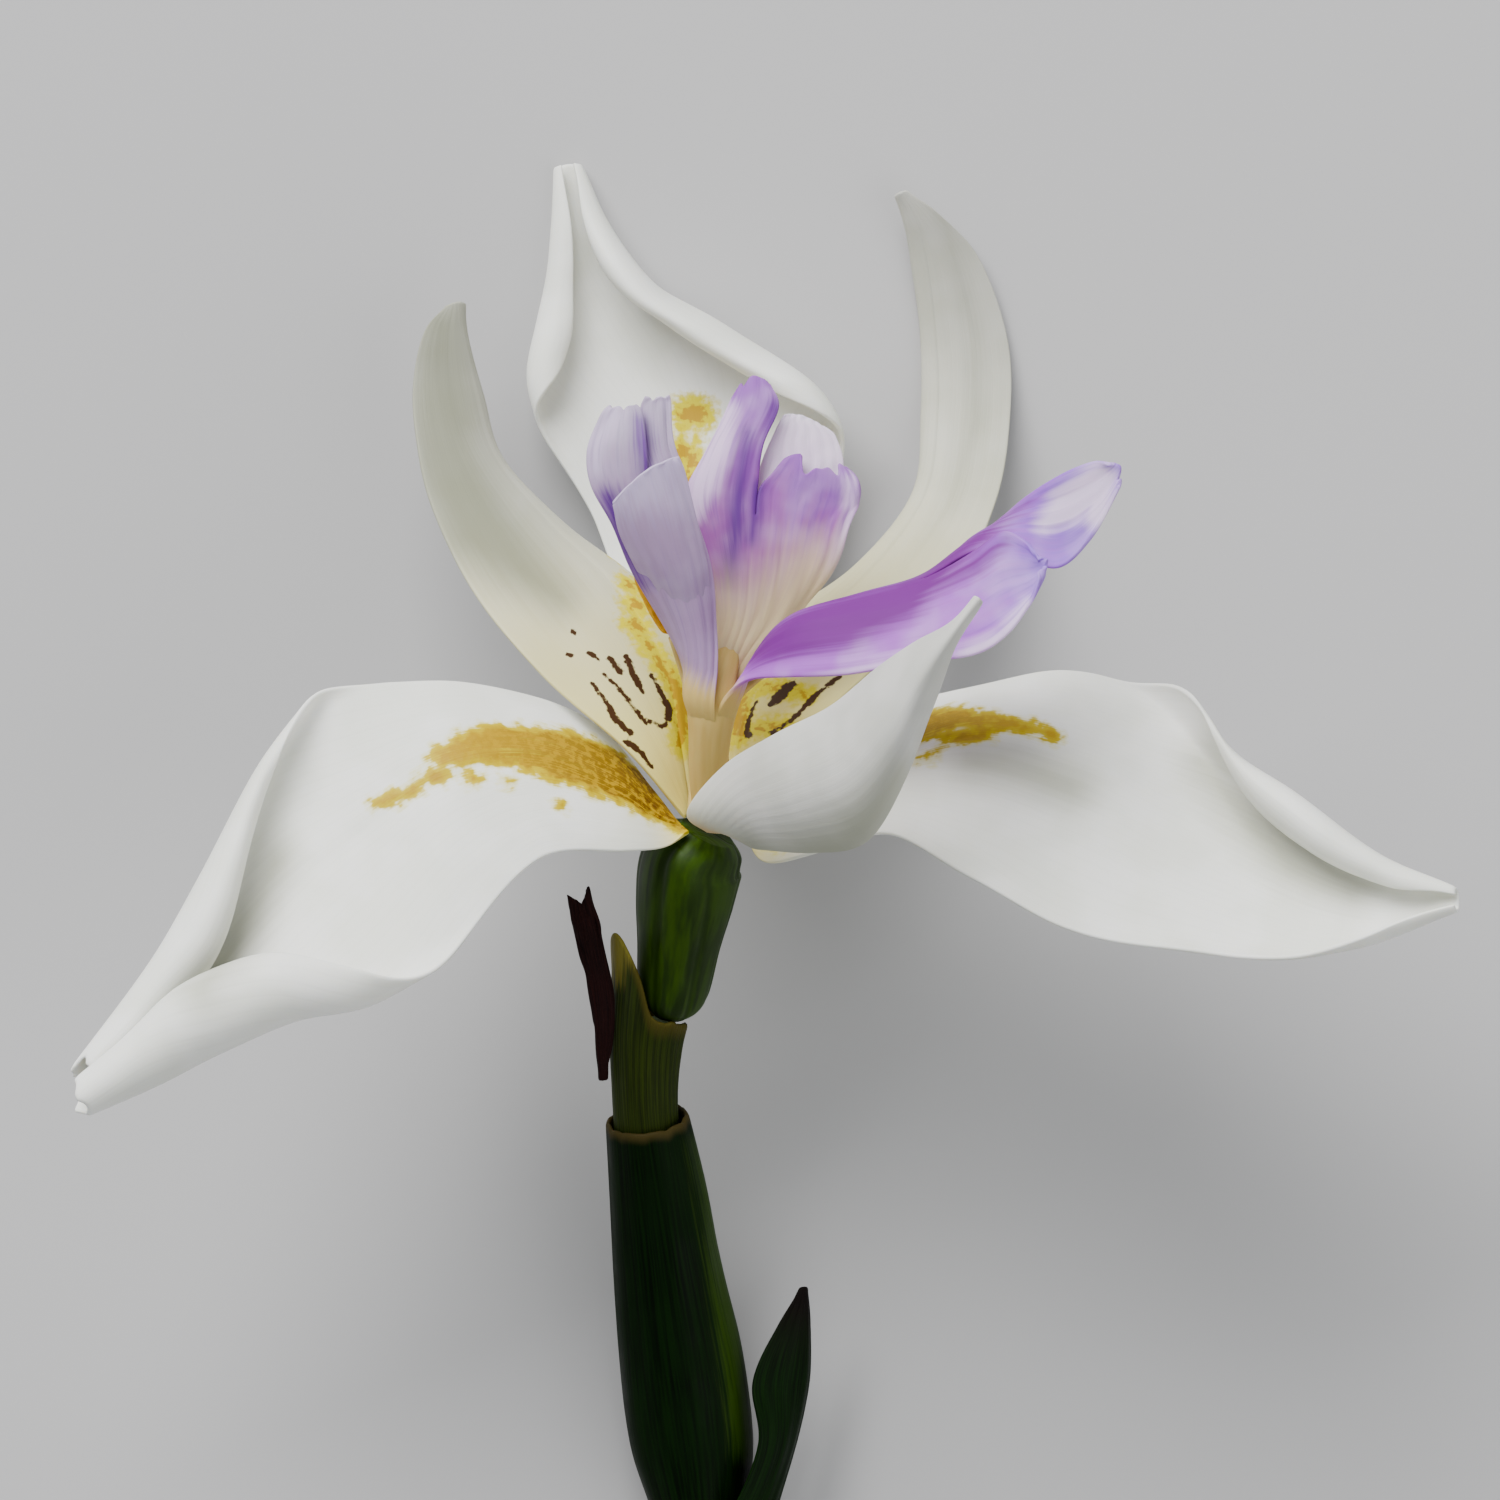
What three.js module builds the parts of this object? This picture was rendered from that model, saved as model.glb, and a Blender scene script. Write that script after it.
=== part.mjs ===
// One open African iris flower (Dietes) as picked, lying on its back on a flat surface.
// Millimetres, +Z up. The flower faces +Z and +Y, its cut stem runs towards -Y.
// All organs are placed from the receptacle, the point where the tepals leave the ovary.
import * as THREE from 'three';

// ---- Driving dimensions ----
const RECEPTACLE = new THREE.Vector3(-3.4, 5.65, 21.7);
const TEPAL_THICKNESS = 0.5;
const STYLE_THICKNESS = 0.5;
const SHEATH_THICKNESS = 0.45;
const FILAMENT_RADIUS = 0.4;
const ANTHER_LENGTH = 5.2;
const ANTHER_RADII = [0.55, 0.75];
const ANTHER_GAP = 0.3;
const ANTHER_OUTLINE = [[0, 0.4], [0.12, 0.9], [0.5, 1], [0.9, 0.9], [1, 0.3]]; // share of length, of width
const STEM_RADIUS = 2.7;
const PEDICEL_RADIUS = 1.1;

// ---- Colours ----
const WHITE = 0xe4e4df;
const LILAC = 0xa98fbf;
const VIOLET = 0x9a66b8;
const BEIGE = 0xc8b482;
const GREEN = 0x2c4a10;
const DARK_GREEN = 0x16260c;
const DRY_BROWN = 0x22110f;

// ---- Curves through ribs ----
// A smooth value at place t (0 to 1) along a list of numbers: a Catmull-Rom spline.
function along(values, t) {
  const last = values.length - 1;
  const place = Math.min(t, 1) * last;
  const i = Math.min(Math.floor(place), last - 1);
  const f = place - i;
  const at = (k) => {
    if (k < 0) return 2 * values[0] - values[1];
    if (k > last) return 2 * values[last] - values[last - 1];
    return values[k];
  };
  const [a, b, c, d] = [at(i - 1), at(i), at(i + 1), at(i + 2)];
  return b + 0.5 * f * (c - a + f * (2 * a - 5 * b + 4 * c - d + f * (3 * (b - c) + d - a)));
}

function pointAlong(points, t) {
  return new THREE.Vector3(...[0, 1, 2].map((axis) => along(points.map((p) => p[axis]), t)));
}

// ---- Sheets ----
// A blade is a thin sheet through ribs. Each rib crosses it from its left shoulder over the midrib to its
// right shoulder. Beyond each shoulder the margin may roll up: rollLeft, rollRight = [length, turn in degrees].
// Where a blade is split down the middle, openLeft and openRight say how far each half leaves the midrib.
const HALF_STEPS = 10;

function bladeLine(ribs, t) {
  const read = (key, rest) => pointAlong(ribs.map((r) => r[key] ?? rest), t);
  const [mid, left, right] = [read('mid'), read('left'), read('right')];
  const openings = { [-1]: read('openLeft', [0, 0, 0]), 1: read('openRight', [0, 0, 0]) };
  const lengthwise = pointAlong(ribs.map((r) => r.mid), Math.min(t + 0.01, 1));
  lengthwise.sub(pointAlong(ribs.map((r) => r.mid), Math.max(t - 0.01, 0)));
  const half = right.clone().sub(left).multiplyScalar(0.5);
  const bend = right.clone().add(left).multiplyScalar(0.5).sub(mid);
  const lines = [];
  for (const side of [-1, 1]) {
    const line = [];
    for (let k = 0; k <= HALF_STEPS; k++) {
      const s = (side * k) / HALF_STEPS;
      const point = mid.clone().addScaledVector(half, s).addScaledVector(bend, s * s);
      line.push(point.addScaledVector(openings[side], 1 - Math.abs(s)));
    }
    const roll = ribs.map((r) => (side < 0 ? r.rollLeft : r.rollRight) ?? [0, 0]);
    const length = Math.max(along(roll.map((r) => r[0]), t), 0);
    if (length > 0.05) {
      const turn = THREE.MathUtils.degToRad(Math.max(along(roll.map((r) => r[1]), t), 5));
      const shoulder = line[HALF_STEPS];
      const outward = half.clone().multiplyScalar(side).addScaledVector(bend, 2).normalize();
      const face = outward.clone().cross(lengthwise).multiplyScalar(side).normalize();
      const radius = length / turn;
      for (let k = 1; k <= HALF_STEPS; k++) {
        const angle = (turn * k) / HALF_STEPS;
        const point = shoulder.clone().addScaledVector(outward, radius * Math.sin(angle));
        line.push(point.addScaledVector(face, radius * (1 - Math.cos(angle))));
      }
    }
    lines.push(line);
  }
  return { left: lines[0].reverse(), right: lines[1] };
}

// The point at a share (0 to 1) of a line's length.
function atShare(line, share) {
  const runs = [0];
  for (let i = 1; i < line.length; i++) runs.push(runs[i - 1] + line[i].distanceTo(line[i - 1]));
  const want = share * runs[runs.length - 1];
  let i = 0;
  while (i < runs.length - 2 && runs[i + 1] < want) i++;
  return line[i].clone().lerp(line[i + 1], (want - runs[i]) / (runs[i + 1] - runs[i]));
}

// The blade as a solid. slit: the share of its length where it splits; edge(s) scales each column's length,
// s from -1 at the left margin to 1 at the right one.
function blade(ribs, columns, rows, thickness, { slit = 1, edge = () => 1 } = {}) {
  const grid = [];
  for (let r = 0; r <= rows; r++) {
    const row = [];
    for (let c = 0; c <= columns; c++) {
      const s = (2 * c) / columns - 1;
      const { left, right } = bladeLine(ribs, (r / rows) * edge(s));
      if (c === columns / 2 && r / rows > slit) {
        row.push([atShare(left, 1), atShare(right, 0)]);
      } else if (slit < 1) {
        row.push(s < 0 ? atShare(left, s + 1) : atShare(right, s));
      } else {
        row.push(atShare([...left, ...right.slice(1)], c / columns));
      }
    }
    grid.push(row);
  }
  return thicken(grid, thickness);
}

// A closed solid from a grid of points (rows of equal length): half the thickness to each side. A row may hold
// [left, right] pairs of points in its middle column, which opens the sheet there as a slit.
function thicken(grid, thickness) {
  const rows = grid.length;
  const columns = grid[0].length;
  const one = (r, c, side) => (Array.isArray(grid[r][c]) ? grid[r][c][side] : grid[r][c]);
  const points = [];
  const number = grid.map(() => []);
  for (let r = 0; r < rows; r++) {
    for (let c = 0; c < columns; c++) {
      number[r][c] = [0, 1].map((side) => {
        if (side === 1 && !Array.isArray(grid[r][c])) return points.length - 1;
        const back = Array.isArray(grid[r][c]) && side === 1 ? c : Math.max(c - 1, 0);
        const on = Array.isArray(grid[r][c]) && side === 0 ? c : Math.min(c + 1, columns - 1);
        const across = one(r, on, 0).clone().sub(one(r, back, 1));
        const up = one(Math.min(r + 1, rows - 1), c, side).clone().sub(one(Math.max(r - 1, 0), c, side));
        points.push([one(r, c, side), across.cross(up).normalize()]);
        return points.length - 1;
      });
    }
  }
  const positions = [];
  for (const side of [1, -1]) {
    for (const [point, normal] of points) {
      const p = point.clone().addScaledVector(normal, (side * thickness) / 2);
      positions.push(p.x, p.y, p.z);
    }
  }
  const index = [];
  const rim = new Map();
  for (let r = 0; r < rows - 1; r++) {
    for (let c = 0; c < columns - 1; c++) {
      const face = [number[r][c][1], number[r][c + 1][0], number[r + 1][c + 1][0], number[r + 1][c][1]];
      const [i, j, k, l] = face;
      const under = points.length;
      index.push(i, j, k, i, k, l, under + i, under + k, under + j, under + i, under + l, under + k);
      for (let e = 0; e < 4; e++) {
        const [from, to] = [face[e], face[(e + 1) % 4]];
        if (!rim.delete(`${to} ${from}`)) rim.set(`${from} ${to}`, [from, to]);
      }
    }
  }
  for (const [from, to] of rim.values()) {
    const under = points.length;
    index.push(from, under + from, under + to, from, under + to, to);
  }
  return solid(positions, index);
}

function solid(positions, index) {
  const geometry = new THREE.BufferGeometry();
  geometry.setAttribute('position', new THREE.Float32BufferAttribute(positions, 3));
  geometry.setIndex(index);
  geometry.computeVertexNormals();
  return geometry;
}

// ---- Stalks ----
// A closed body along stations [x, y, z, half width, half depth]; shape(angle, t) scales its outline.
function stalk(stations, sides, rows, shape = () => 1) {
  const positions = [];
  const centre = (t) => pointAlong(stations, t);
  for (let r = 0; r <= rows; r++) {
    const t = r / rows;
    const ahead = centre(Math.min(t + 0.01, 1)).sub(centre(Math.max(t - 0.01, 0))).normalize();
    const wide = new THREE.Vector3(0, 0, 1).cross(ahead).normalize().negate();
    const deep = ahead.clone().cross(wide).negate();
    const [halfWidth, halfDepth] = [3, 4].map((k) => along(stations.map((s) => s[k]), t));
    for (let i = 0; i < sides; i++) {
      const angle = (2 * Math.PI * i) / sides;
      const scale = shape(angle, t);
      const p = centre(t).addScaledVector(wide, halfWidth * scale * Math.cos(angle));
      p.addScaledVector(deep, halfDepth * scale * Math.sin(angle));
      positions.push(p.x, p.y, p.z);
    }
  }
  const index = [];
  for (let r = 0; r < rows; r++) {
    for (let i = 0; i < sides; i++) {
      const next = (i + 1) % sides;
      const [a, b, c, d] = [r * sides + i, r * sides + next, (r + 1) * sides + next, (r + 1) * sides + i];
      index.push(a, c, b, a, d, c);
    }
  }
  for (const [ring, flip] of [[0, false], [rows, true]]) {
    const middle = positions.length / 3;
    const p = centre(ring / rows);
    positions.push(p.x, p.y, p.z);
    for (let i = 0; i < sides; i++) {
      const [a, b] = [ring * sides + i, ring * sides + ((i + 1) % sides)];
      index.push(...(flip ? [middle, b, a] : [middle, a, b]));
    }
  }
  return solid(positions, index);
}

// A sheath: a sheet wrapped round stations [x, y, z, half width, half depth] from angle open[0] to open[1],
// with its rim at height rim(angle), a share of the whole length.
function sheath(stations, open, rim, columns, rows) {
  const grid = [];
  for (let r = 0; r <= rows; r++) {
    const row = [];
    for (let c = 0; c <= columns; c++) {
      const angle = THREE.MathUtils.degToRad(open[0] + ((open[1] - open[0]) * c) / columns);
      const t = (rim(angle) * r) / rows;
      const centre = pointAlong(stations, t);
      const ahead = pointAlong(stations, Math.min(t + 0.01, 1)).sub(pointAlong(stations, Math.max(t - 0.01, 0)));
      const wide = new THREE.Vector3(0, 0, 1).cross(ahead.normalize()).normalize().negate();
      const deep = ahead.clone().cross(wide).negate();
      const [halfWidth, halfDepth] = [3, 4].map((k) => along(stations.map((s) => s[k]), t));
      centre.addScaledVector(wide, halfWidth * Math.cos(angle)).addScaledVector(deep, halfDepth * Math.sin(angle));
      row.push(centre);
    }
    grid.push(row);
  }
  return thicken(grid, SHEATH_THICKNESS);
}

const flower = new THREE.Group();
flower.position.copy(RECEPTACLE);
const iris = new THREE.Group();
iris.add(flower);

function add(name, geometry, color, roughness = 0.6) {
  const mesh = new THREE.Mesh(geometry, new THREE.MeshStandardMaterial({ color, roughness, metalness: 0 }));
  mesh.name = name;
  flower.add(mesh);
}

// A rib of a blade, measured from the receptacle.
const rib = (mid, left, right, rollLeft, rollRight) => ({ mid, left, right, rollLeft, rollRight });
// A rib above a slit: the left half ends at leftEnd, the right half starts at rightStart.
const splitRib = (left, leftEnd, rightStart, right) => {
  return { mid: leftEnd, left, right, openRight: rightStart.map((v, i) => v - leftEnd[i]) };
};

// ---- Outer tepals ----
const OUTER_LEFT = [
  rib([-2.3, -0.5, 1.1], [-1.8, -0.8, 1.9], [-2.7, -0.2, 0.3]),
  rib([-4.0, 0.1, 1.9], [-3.5, -1.9, 3.0], [-4.6, 2.2, -0.8]),
  rib([-7.0, 1.9, 2.9], [-6.4, -2.2, 4.9], [-7.8, 6.2, -2.0]),
  rib([-12.5, 3.8, 4.4], [-11.9, -2.5, 7.8], [-12.8, 8.7, -0.9]),
  rib([-18.5, 3.0, 6.0], [-17.0, -6.8, 10.0], [-19.4, 9.7, 1.0], [1.0, 15], [0, 0]),
  rib([-24.6, -1.0, 6.4], [-23.2, -11.3, 12.0], [-25.8, 8.0, 2.5], [6.0, 150], [0.8, 35]),
  rib([-30.4, -5.8, 7.4], [-28.8, -12.9, 13.0], [-31.4, 2.6, 4.4], [9.4, 205], [6.0, 225]),
  rib([-34.9, -10.8, 9.3], [-33.8, -15.2, 13.6], [-36.0, -6.4, 8.2], [9.8, 215], [9.6, 250]),
  rib([-39.0, -15.0, 11.6], [-38.4, -17.6, 14.0], [-39.6, -12.3, 10.8], [8.6, 225], [7.4, 240]),
  rib([-44.6, -19.0, 14.6], [-44.2, -20.2, 15.4], [-44.7, -17.9, 14.6], [4.4, 215], [2.6, 190]),
];
const OUTER_RIGHT = [
  rib([2.4, -0.4, 0.9], [2.8, 0.0, 0.0], [2.0, -0.8, 1.8]),
  rib([4.2, 0.1, 1.7], [4.4, 1.9, -0.7], [3.4, -2.9, 3.2]),
  rib([7.4, 1.2, 2.6], [7.4, 4.5, -1.2], [6.8, -2.4, 5.6]),
  rib([12.5, 4.2, 3.4], [12.6, 7.8, -2.0], [12.0, -0.9, 8.0]),
  rib([18.5, 5.8, 4.0], [19.0, 9.5, -2.5], [17.8, -2.8, 10.0], [0, 0], [1.4, 20]),
  rib([25.0, 4.4, 4.6], [25.2, 10.2, -1.5], [23.9, -5.6, 10.8], [0, 0], [2.2, 35]),
  rib([31.0, 1.6, 5.2], [30.8, 7.6, 0.1], [30.2, -7.2, 10.8], [1.6, 80], [2.8, 50]),
  rib([36.4, -1.4, 6.5], [35.7, 3.0, 4.0], [36.2, -8.0, 10.6], [8.0, 235], [3.2, 60]),
  rib([42.0, -4.4, 8.6], [41.4, -1.0, 6.9], [42.0, -8.0, 11.0], [10.4, 262], [3.6, 80]),
  rib([47.0, -5.8, 10.6], [46.6, -4.0, 9.6], [46.8, -7.4, 11.4], [6.2, 250], [3.2, 110]),
  rib([51.5, -5.5, 12.7], [51.5, -5.2, 12.6], [51.5, -5.8, 12.8], [1.2, 200], [1.2, 150]),
];
const OUTER_BACK = [
  rib([-0.4, 1.0, -2.4], [-1.3, 0.9, -2.3], [0.6, 1.1, -2.5]),
  rib([-0.6, 8.0, -8.4], [-3.6, 7.6, -8.2], [2.4, 7.8, -8.4]),
  rib([-1.2, 15.0, -14.0], [-6.2, 14.6, -13.8], [4.8, 15.0, -14.2]),
  rib([-1.8, 21.8, -18.0], [-8.7, 21.4, -17.4], [8.0, 21.2, -17.2]),
  rib([-2.2, 28.0, -19.8], [-11.3, 27.6, -18.8], [8.0, 26.6, -18.2], [1.6, 60], [1.8, 70]),
  rib([-3.8, 32.2, -20.6], [-12.3, 31.4, -19.6], [5.4, 31.3, -18.8], [5.4, 215], [9.2, 225]),
  rib([-6.2, 36.2, -20.9], [-11.4, 35.5, -20.8], [-0.8, 35.6, -19.8], [5.4, 220], [11.0, 255]),
  rib([-8.4, 39.8, -21.1], [-10.8, 39.6, -21.1], [-5.8, 38.9, -20.8], [4.4, 210], [10.2, 255]),
  rib([-9.8, 43.3, -21.3], [-10.7, 43.2, -21.3], [-8.9, 43.0, -21.3], [3.2, 200], [4.8, 220]),
  rib([-10.6, 46.8, -21.4], [-11.0, 46.7, -21.4], [-10.2, 46.8, -21.4], [1.4, 180], [1.4, 180]),
];
add('outer_tepal_left', blade(OUTER_LEFT, 18, 22, TEPAL_THICKNESS), WHITE);
add('outer_tepal_right', blade(OUTER_RIGHT, 18, 22, TEPAL_THICKNESS), WHITE);
add('outer_tepal_back', blade(OUTER_BACK, 16, 22, TEPAL_THICKNESS), WHITE);

// ---- Inner tepals ----
const INNER_LEFT = [
  rib([-1.7, 0.4, -0.8], [-2.1, 0.1, -0.1], [-1.3, 0.7, -1.6]),
  rib([-2.5, 5.8, -2.0], [-6.2, 4.9, 1.2], [-1.2, 6.8, -4.5]),
  rib([-3.8, 11.3, -4.5], [-12.2, 10.2, -0.6], [-2.0, 12.3, -8.0]),
  rib([-7.1, 16.3, -7.5], [-17.0, 16.0, -4.0], [-6.2, 17.1, -11.0]),
  rib([-12.0, 21.1, -9.5], [-20.0, 22.0, -7.0], [-11.4, 20.8, -12.6]),
  rib([-15.8, 25.8, -11.0], [-21.2, 27.0, -9.5], [-15.8, 25.3, -13.6]),
  rib([-17.2, 30.3, -12.0], [-21.4, 31.0, -11.3], [-16.9, 29.9, -14.0]),
  rib([-18.0, 34.0, -12.4], [-20.6, 34.6, -12.0], [-17.8, 33.8, -13.6]),
  rib([-18.3, 36.7, -12.5], [-19.0, 36.4, -12.4], [-17.8, 36.6, -13.0]),
];
const INNER_RIGHT = [
  rib([1.4, 0.5, -1.2], [0.9, 0.8, -1.8], [2.0, 0.3, -0.6]),
  rib([2.0, 6.4, -4.0], [0.4, 7.2, -6.2], [6.0, 5.6, -1.8]),
  rib([4.8, 12.0, -8.0], [2.6, 12.8, -10.8], [11.0, 10.5, -5.5]),
  rib([10.8, 17.3, -12.5], [9.9, 17.6, -14.6], [16.6, 15.8, -11.0]),
  rib([14.9, 22.9, -16.6], [14.4, 23.0, -18.4], [19.9, 22.4, -16.5]),
  rib([15.9, 28.6, -19.5], [14.9, 28.6, -20.9], [21.0, 28.4, -19.7]),
  rib([15.8, 34.3, -20.5], [15.0, 34.1, -21.5], [20.9, 34.1, -21.1]),
  rib([15.1, 39.9, -20.0], [14.1, 39.5, -20.8], [18.9, 39.9, -20.6]),
  rib([14.1, 43.0, -19.2], [13.5, 42.8, -19.6], [16.0, 43.1, -19.5]),
  rib([13.1, 44.7, -18.6], [12.8, 44.5, -18.8], [13.5, 44.8, -18.8]),
];
const INNER_FRONT = [
  rib([0.3, -0.8, 1.8], [1.2, -0.7, 1.6], [-0.5, -0.8, 1.9]),
  rib([0.7, -0.6, 4.4], [2.6, -1.8, 3.4], [-1.9, 0.7, 3.6]),
  rib([2.5, 0.7, 9.0], [4.0, -2.0, 7.6], [0.8, 3.9, 6.6]),
  rib([5.6, 1.6, 14.7], [7.0, -2.2, 12.2], [4.1, 5.9, 11.2]),
  rib([9.3, 3.2, 20.0], [10.5, -1.3, 16.5], [7.9, 7.9, 15.0]),
  rib([12.1, 6.4, 23.6], [13.1, 3.0, 20.0], [11.2, 10.4, 18.5]),
  rib([14.1, 9.9, 25.2], [14.9, 8.0, 22.5], [14.0, 12.4, 22.0]),
  rib([16.2, 12.8, 25.6], [16.4, 12.0, 24.0], [16.3, 13.6, 24.0]),
  rib([18.1, 15.3, 25.4], [18.3, 15.1, 25.0], [17.9, 15.4, 25.0]),
];
add('inner_tepal_left', blade(INNER_LEFT, 14, 20, TEPAL_THICKNESS), WHITE);
add('inner_tepal_right', blade(INNER_RIGHT, 14, 20, TEPAL_THICKNESS), WHITE);
add('inner_tepal_front', blade(INNER_FRONT, 14, 18, TEPAL_THICKNESS), WHITE);

// ---- Style column and its three arms ----
const COLUMN = [
  [0.0, 0.2, 0.1, 1.0, 1.0],
  [0.0, 3.0, 1.3, 1.6, 1.4],
  [0.1, 6.0, 2.6, 1.8, 1.4],
  [0.2, 8.6, 3.7, 1.7, 1.2],
  [0.2, 10.4, 4.4, 0.8, 0.6],
];
add('style_column', stalk(COLUMN, 16, 8), BEIGE);

const ARM_LEFT = [
  rib([-1.9, 8.3, 4.7], [-1.7, 9.0, 2.7], [0.0, 7.9, 5.5]),
  rib([-1.4, 10.8, 5.6], [-2.4, 11.2, 4.2], [0.2, 10.6, 5.5]),
  rib([-1.7, 13.5, 6.3], [-3.7, 14.0, 5.2], [0.1, 13.4, 5.4]),
  rib([-2.9, 17.3, 7.6], [-5.8, 17.4, 6.4], [-0.3, 17.3, 6.2]),
  rib([-3.9, 20.6, 8.4], [-7.1, 20.7, 7.3], [-1.1, 20.6, 6.8]),
  rib([-4.5, 23.4, 8.6], [-8.6, 23.2, 7.8], [-2.1, 23.8, 7.2]),
  splitRib([-8.9, 25.6, 7.8], [-5.0, 25.9, 8.6], [-4.7, 25.8, 8.0], [-2.9, 26.0, 7.2]),
  splitRib([-8.1, 27.8, 7.4], [-5.2, 28.3, 8.0], [-4.9, 28.6, 7.5], [-3.0, 28.9, 6.8]),
  splitRib([-7.2, 28.8, 7.2], [-5.4, 29.0, 7.8], [-4.8, 29.4, 7.3], [-3.2, 29.6, 6.8]),
];
const ARM_BACK = [
  rib([0.4, 9.3, 1.9], [-1.3, 9.1, 2.3], [1.9, 9.0, 2.5]),
  rib([1.4, 11.6, 2.7], [-0.6, 11.4, 2.5], [3.4, 11.8, 2.3]),
  rib([2.2, 14.2, 2.6], [0.1, 13.8, 2.2], [6.0, 14.4, 1.2]),
  rib([2.6, 17.6, 2.3], [-0.4, 17.3, 1.8], [8.4, 17.6, 0.8]),
  rib([2.8, 20.6, 1.7], [-1.5, 20.4, 1.0], [9.4, 20.6, 0.2]),
  rib([3.0, 23.0, 1.0], [-2.2, 22.6, 0.4], [10.2, 22.2, -0.4]),
  splitRib([-0.8, 25.6, -0.4], [3.4, 26.2, 0.2], [4.0, 24.3, 0.6], [10.1, 23.6, -0.8]),
  splitRib([0.8, 28.2, -1.2], [4.5, 28.9, -0.8], [4.9, 25.2, 0.0], [9.2, 24.7, -1.2]),
  splitRib([1.9, 30.4, -1.8], [3.9, 30.5, -1.8], [5.6, 25.0, -0.4], [8.2, 24.9, -1.4]),
];
const ARM_RIGHT = [
  rib([2.2, 8.3, 4.7], [2.3, 9.0, 3.0], [0.5, 7.9, 5.5]),
  rib([2.9, 11.6, 5.4], [3.2, 10.8, 3.6], [2.2, 9.6, 6.7]),
  rib([5.4, 14.2, 6.8], [5.6, 11.8, 3.4], [5.0, 9.9, 9.4]),
  rib([10.0, 15.5, 9.0], [10.2, 13.6, 5.0], [9.5, 10.1, 12.4]),
  rib([14.3, 16.6, 11.0], [15.0, 15.6, 7.0], [14.0, 10.9, 14.6]),
  rib([17.7, 18.5, 12.4], [18.5, 19.2, 9.4], [18.0, 11.5, 16.0]),
  splitRib([21.4, 22.2, 11.0], [20.4, 18.6, 12.6], [19.8, 20.0, 13.6], [20.3, 12.9, 16.4]),
  splitRib([23.8, 23.9, 12.4], [23.6, 17.4, 13.0], [21.4, 19.4, 14.4], [21.7, 14.8, 16.2]),
  splitRib([26.0, 24.8, 13.2], [26.0, 19.5, 13.4], [22.0, 18.6, 15.0], [22.1, 16.4, 15.9]),
  splitRib([27.1, 24.7, 13.9], [27.8, 23.0, 14.0], [22.3, 17.9, 15.3], [22.3, 17.1, 15.6]),
];
const scallops = (count, depth) => (s) => 1 - depth * Math.sin(Math.PI * count * s) ** 2;
add('style_branch_left', blade(ARM_LEFT, 12, 14, STYLE_THICKNESS, { slit: 0.64, edge: scallops(2, 0.03) }), LILAC);
add('style_branch_back', blade(ARM_BACK, 12, 14, STYLE_THICKNESS, { slit: 0.57, edge: scallops(2, 0.03) }), VIOLET);
add('style_branch_right', blade(ARM_RIGHT, 12, 16, STYLE_THICKNESS, { slit: 0.5 }), VIOLET);

// ---- Stamens: a stalk from beside the column's foot and an anther on its end, under each arm ----
const STAMENS = {
  left: [[-1.6, 0.1, 0.2], [-1.4, 4.4, -0.2], [-1.7, 8.6, 1.4], [-2.9, 12.8, 3.4], [-6.2, 19.4, 4.9]],
  back: [[-0.2, 1.1, -1.3], [0.3, 6.0, -0.4], [1.6, 11.0, 0.4], [2.4, 14.0, 0.6], [3.6, 19.0, -0.4]],
  right: [[1.6, 0.2, 0.2], [1.4, 4.6, -0.1], [2.4, 8.4, 1.8], [4.5, 11.3, 4.8], [8.8, 13.2, 7.6]],
};
for (const [side, route] of Object.entries(STAMENS)) {
  const tip = route.pop();
  const top = new THREE.Vector3(...route[route.length - 1]);
  add(`filament_${side}`, stalk(route.map((p) => [...p, FILAMENT_RADIUS, FILAMENT_RADIUS]), 8, 8), WHITE);
  const ahead = new THREE.Vector3(...tip).sub(top).normalize();
  const anther = ANTHER_OUTLINE.map(([reach, full]) => {
    const centre = top.clone().addScaledVector(ahead, ANTHER_GAP + reach * ANTHER_LENGTH);
    return [...centre, ANTHER_RADII[1] * full, ANTHER_RADII[0] * full];
  });
  add(`anther_${side}`, stalk(anther, 10, 8), BEIGE);
}

// ---- Ovary and its stalk ----
const OVARY = [
  [-0.5, -0.9, -0.4, 2.0, 2.0],
  [-0.9, -1.7, -0.7, 3.0, 3.0],
  [-1.7, -3.2, -1.3, 3.6, 3.6],
  [-2.2, -6.0, -2.4, 3.4, 3.4],
  [-2.6, -9.0, -3.7, 2.9, 2.9],
  [-3.0, -12.4, -5.0, 2.4, 2.4],
  [-3.2, -13.7, -5.6, 1.2, 1.2],
];
const threeLobed = (angle) => 1 + 0.05 * Math.cos(3 * (angle - Math.PI / 2));
add('ovary', stalk(OVARY, 24, 12, threeLobed), GREEN, 0.45);

const PEDICEL = [
  [-3.8, -14.3, -5.9], [-4.7, -20.0, -8.2], [-3.6, -30.0, -12.5], [-2.4, -38.0, -15.6], [-1.6, -46.0, -17.6],
].map((p) => [...p, PEDICEL_RADIUS, PEDICEL_RADIUS]);
add('pedicel', stalk(PEDICEL, 8, 12), GREEN);

// ---- Spathes, stem and bracts ----
const INNER_SPATHE = [
  [-1.8, -45.0, -17.3, 2.3, 2.1],
  [-2.5, -38.0, -15.5, 2.7, 2.4],
  [-3.6, -30.0, -12.5, 2.6, 2.3],
  [-4.8, -22.0, -9.1, 2.2, 2.0],
  [-4.9, -16.0, -6.8, 2.5, 2.2],
  [-4.1, -11.0, -4.7, 3.0, 3.1],
  [-3.7, -7.6, -3.4, 3.6, 3.7],
];
// Its rim is low all round, apart from a narrow dry point on the left.
const innerRim = (angle) => 0.72 + 0.05 * Math.cos(0.6 * (angle - 2.2))
  + 0.23 * Math.max(0, Math.cos(1.4 * (angle - 2.6))) ** 1.5;
add('inner_spathe', sheath(INNER_SPATHE, [-15, 325], innerRim, 16, 16), GREEN);

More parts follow.
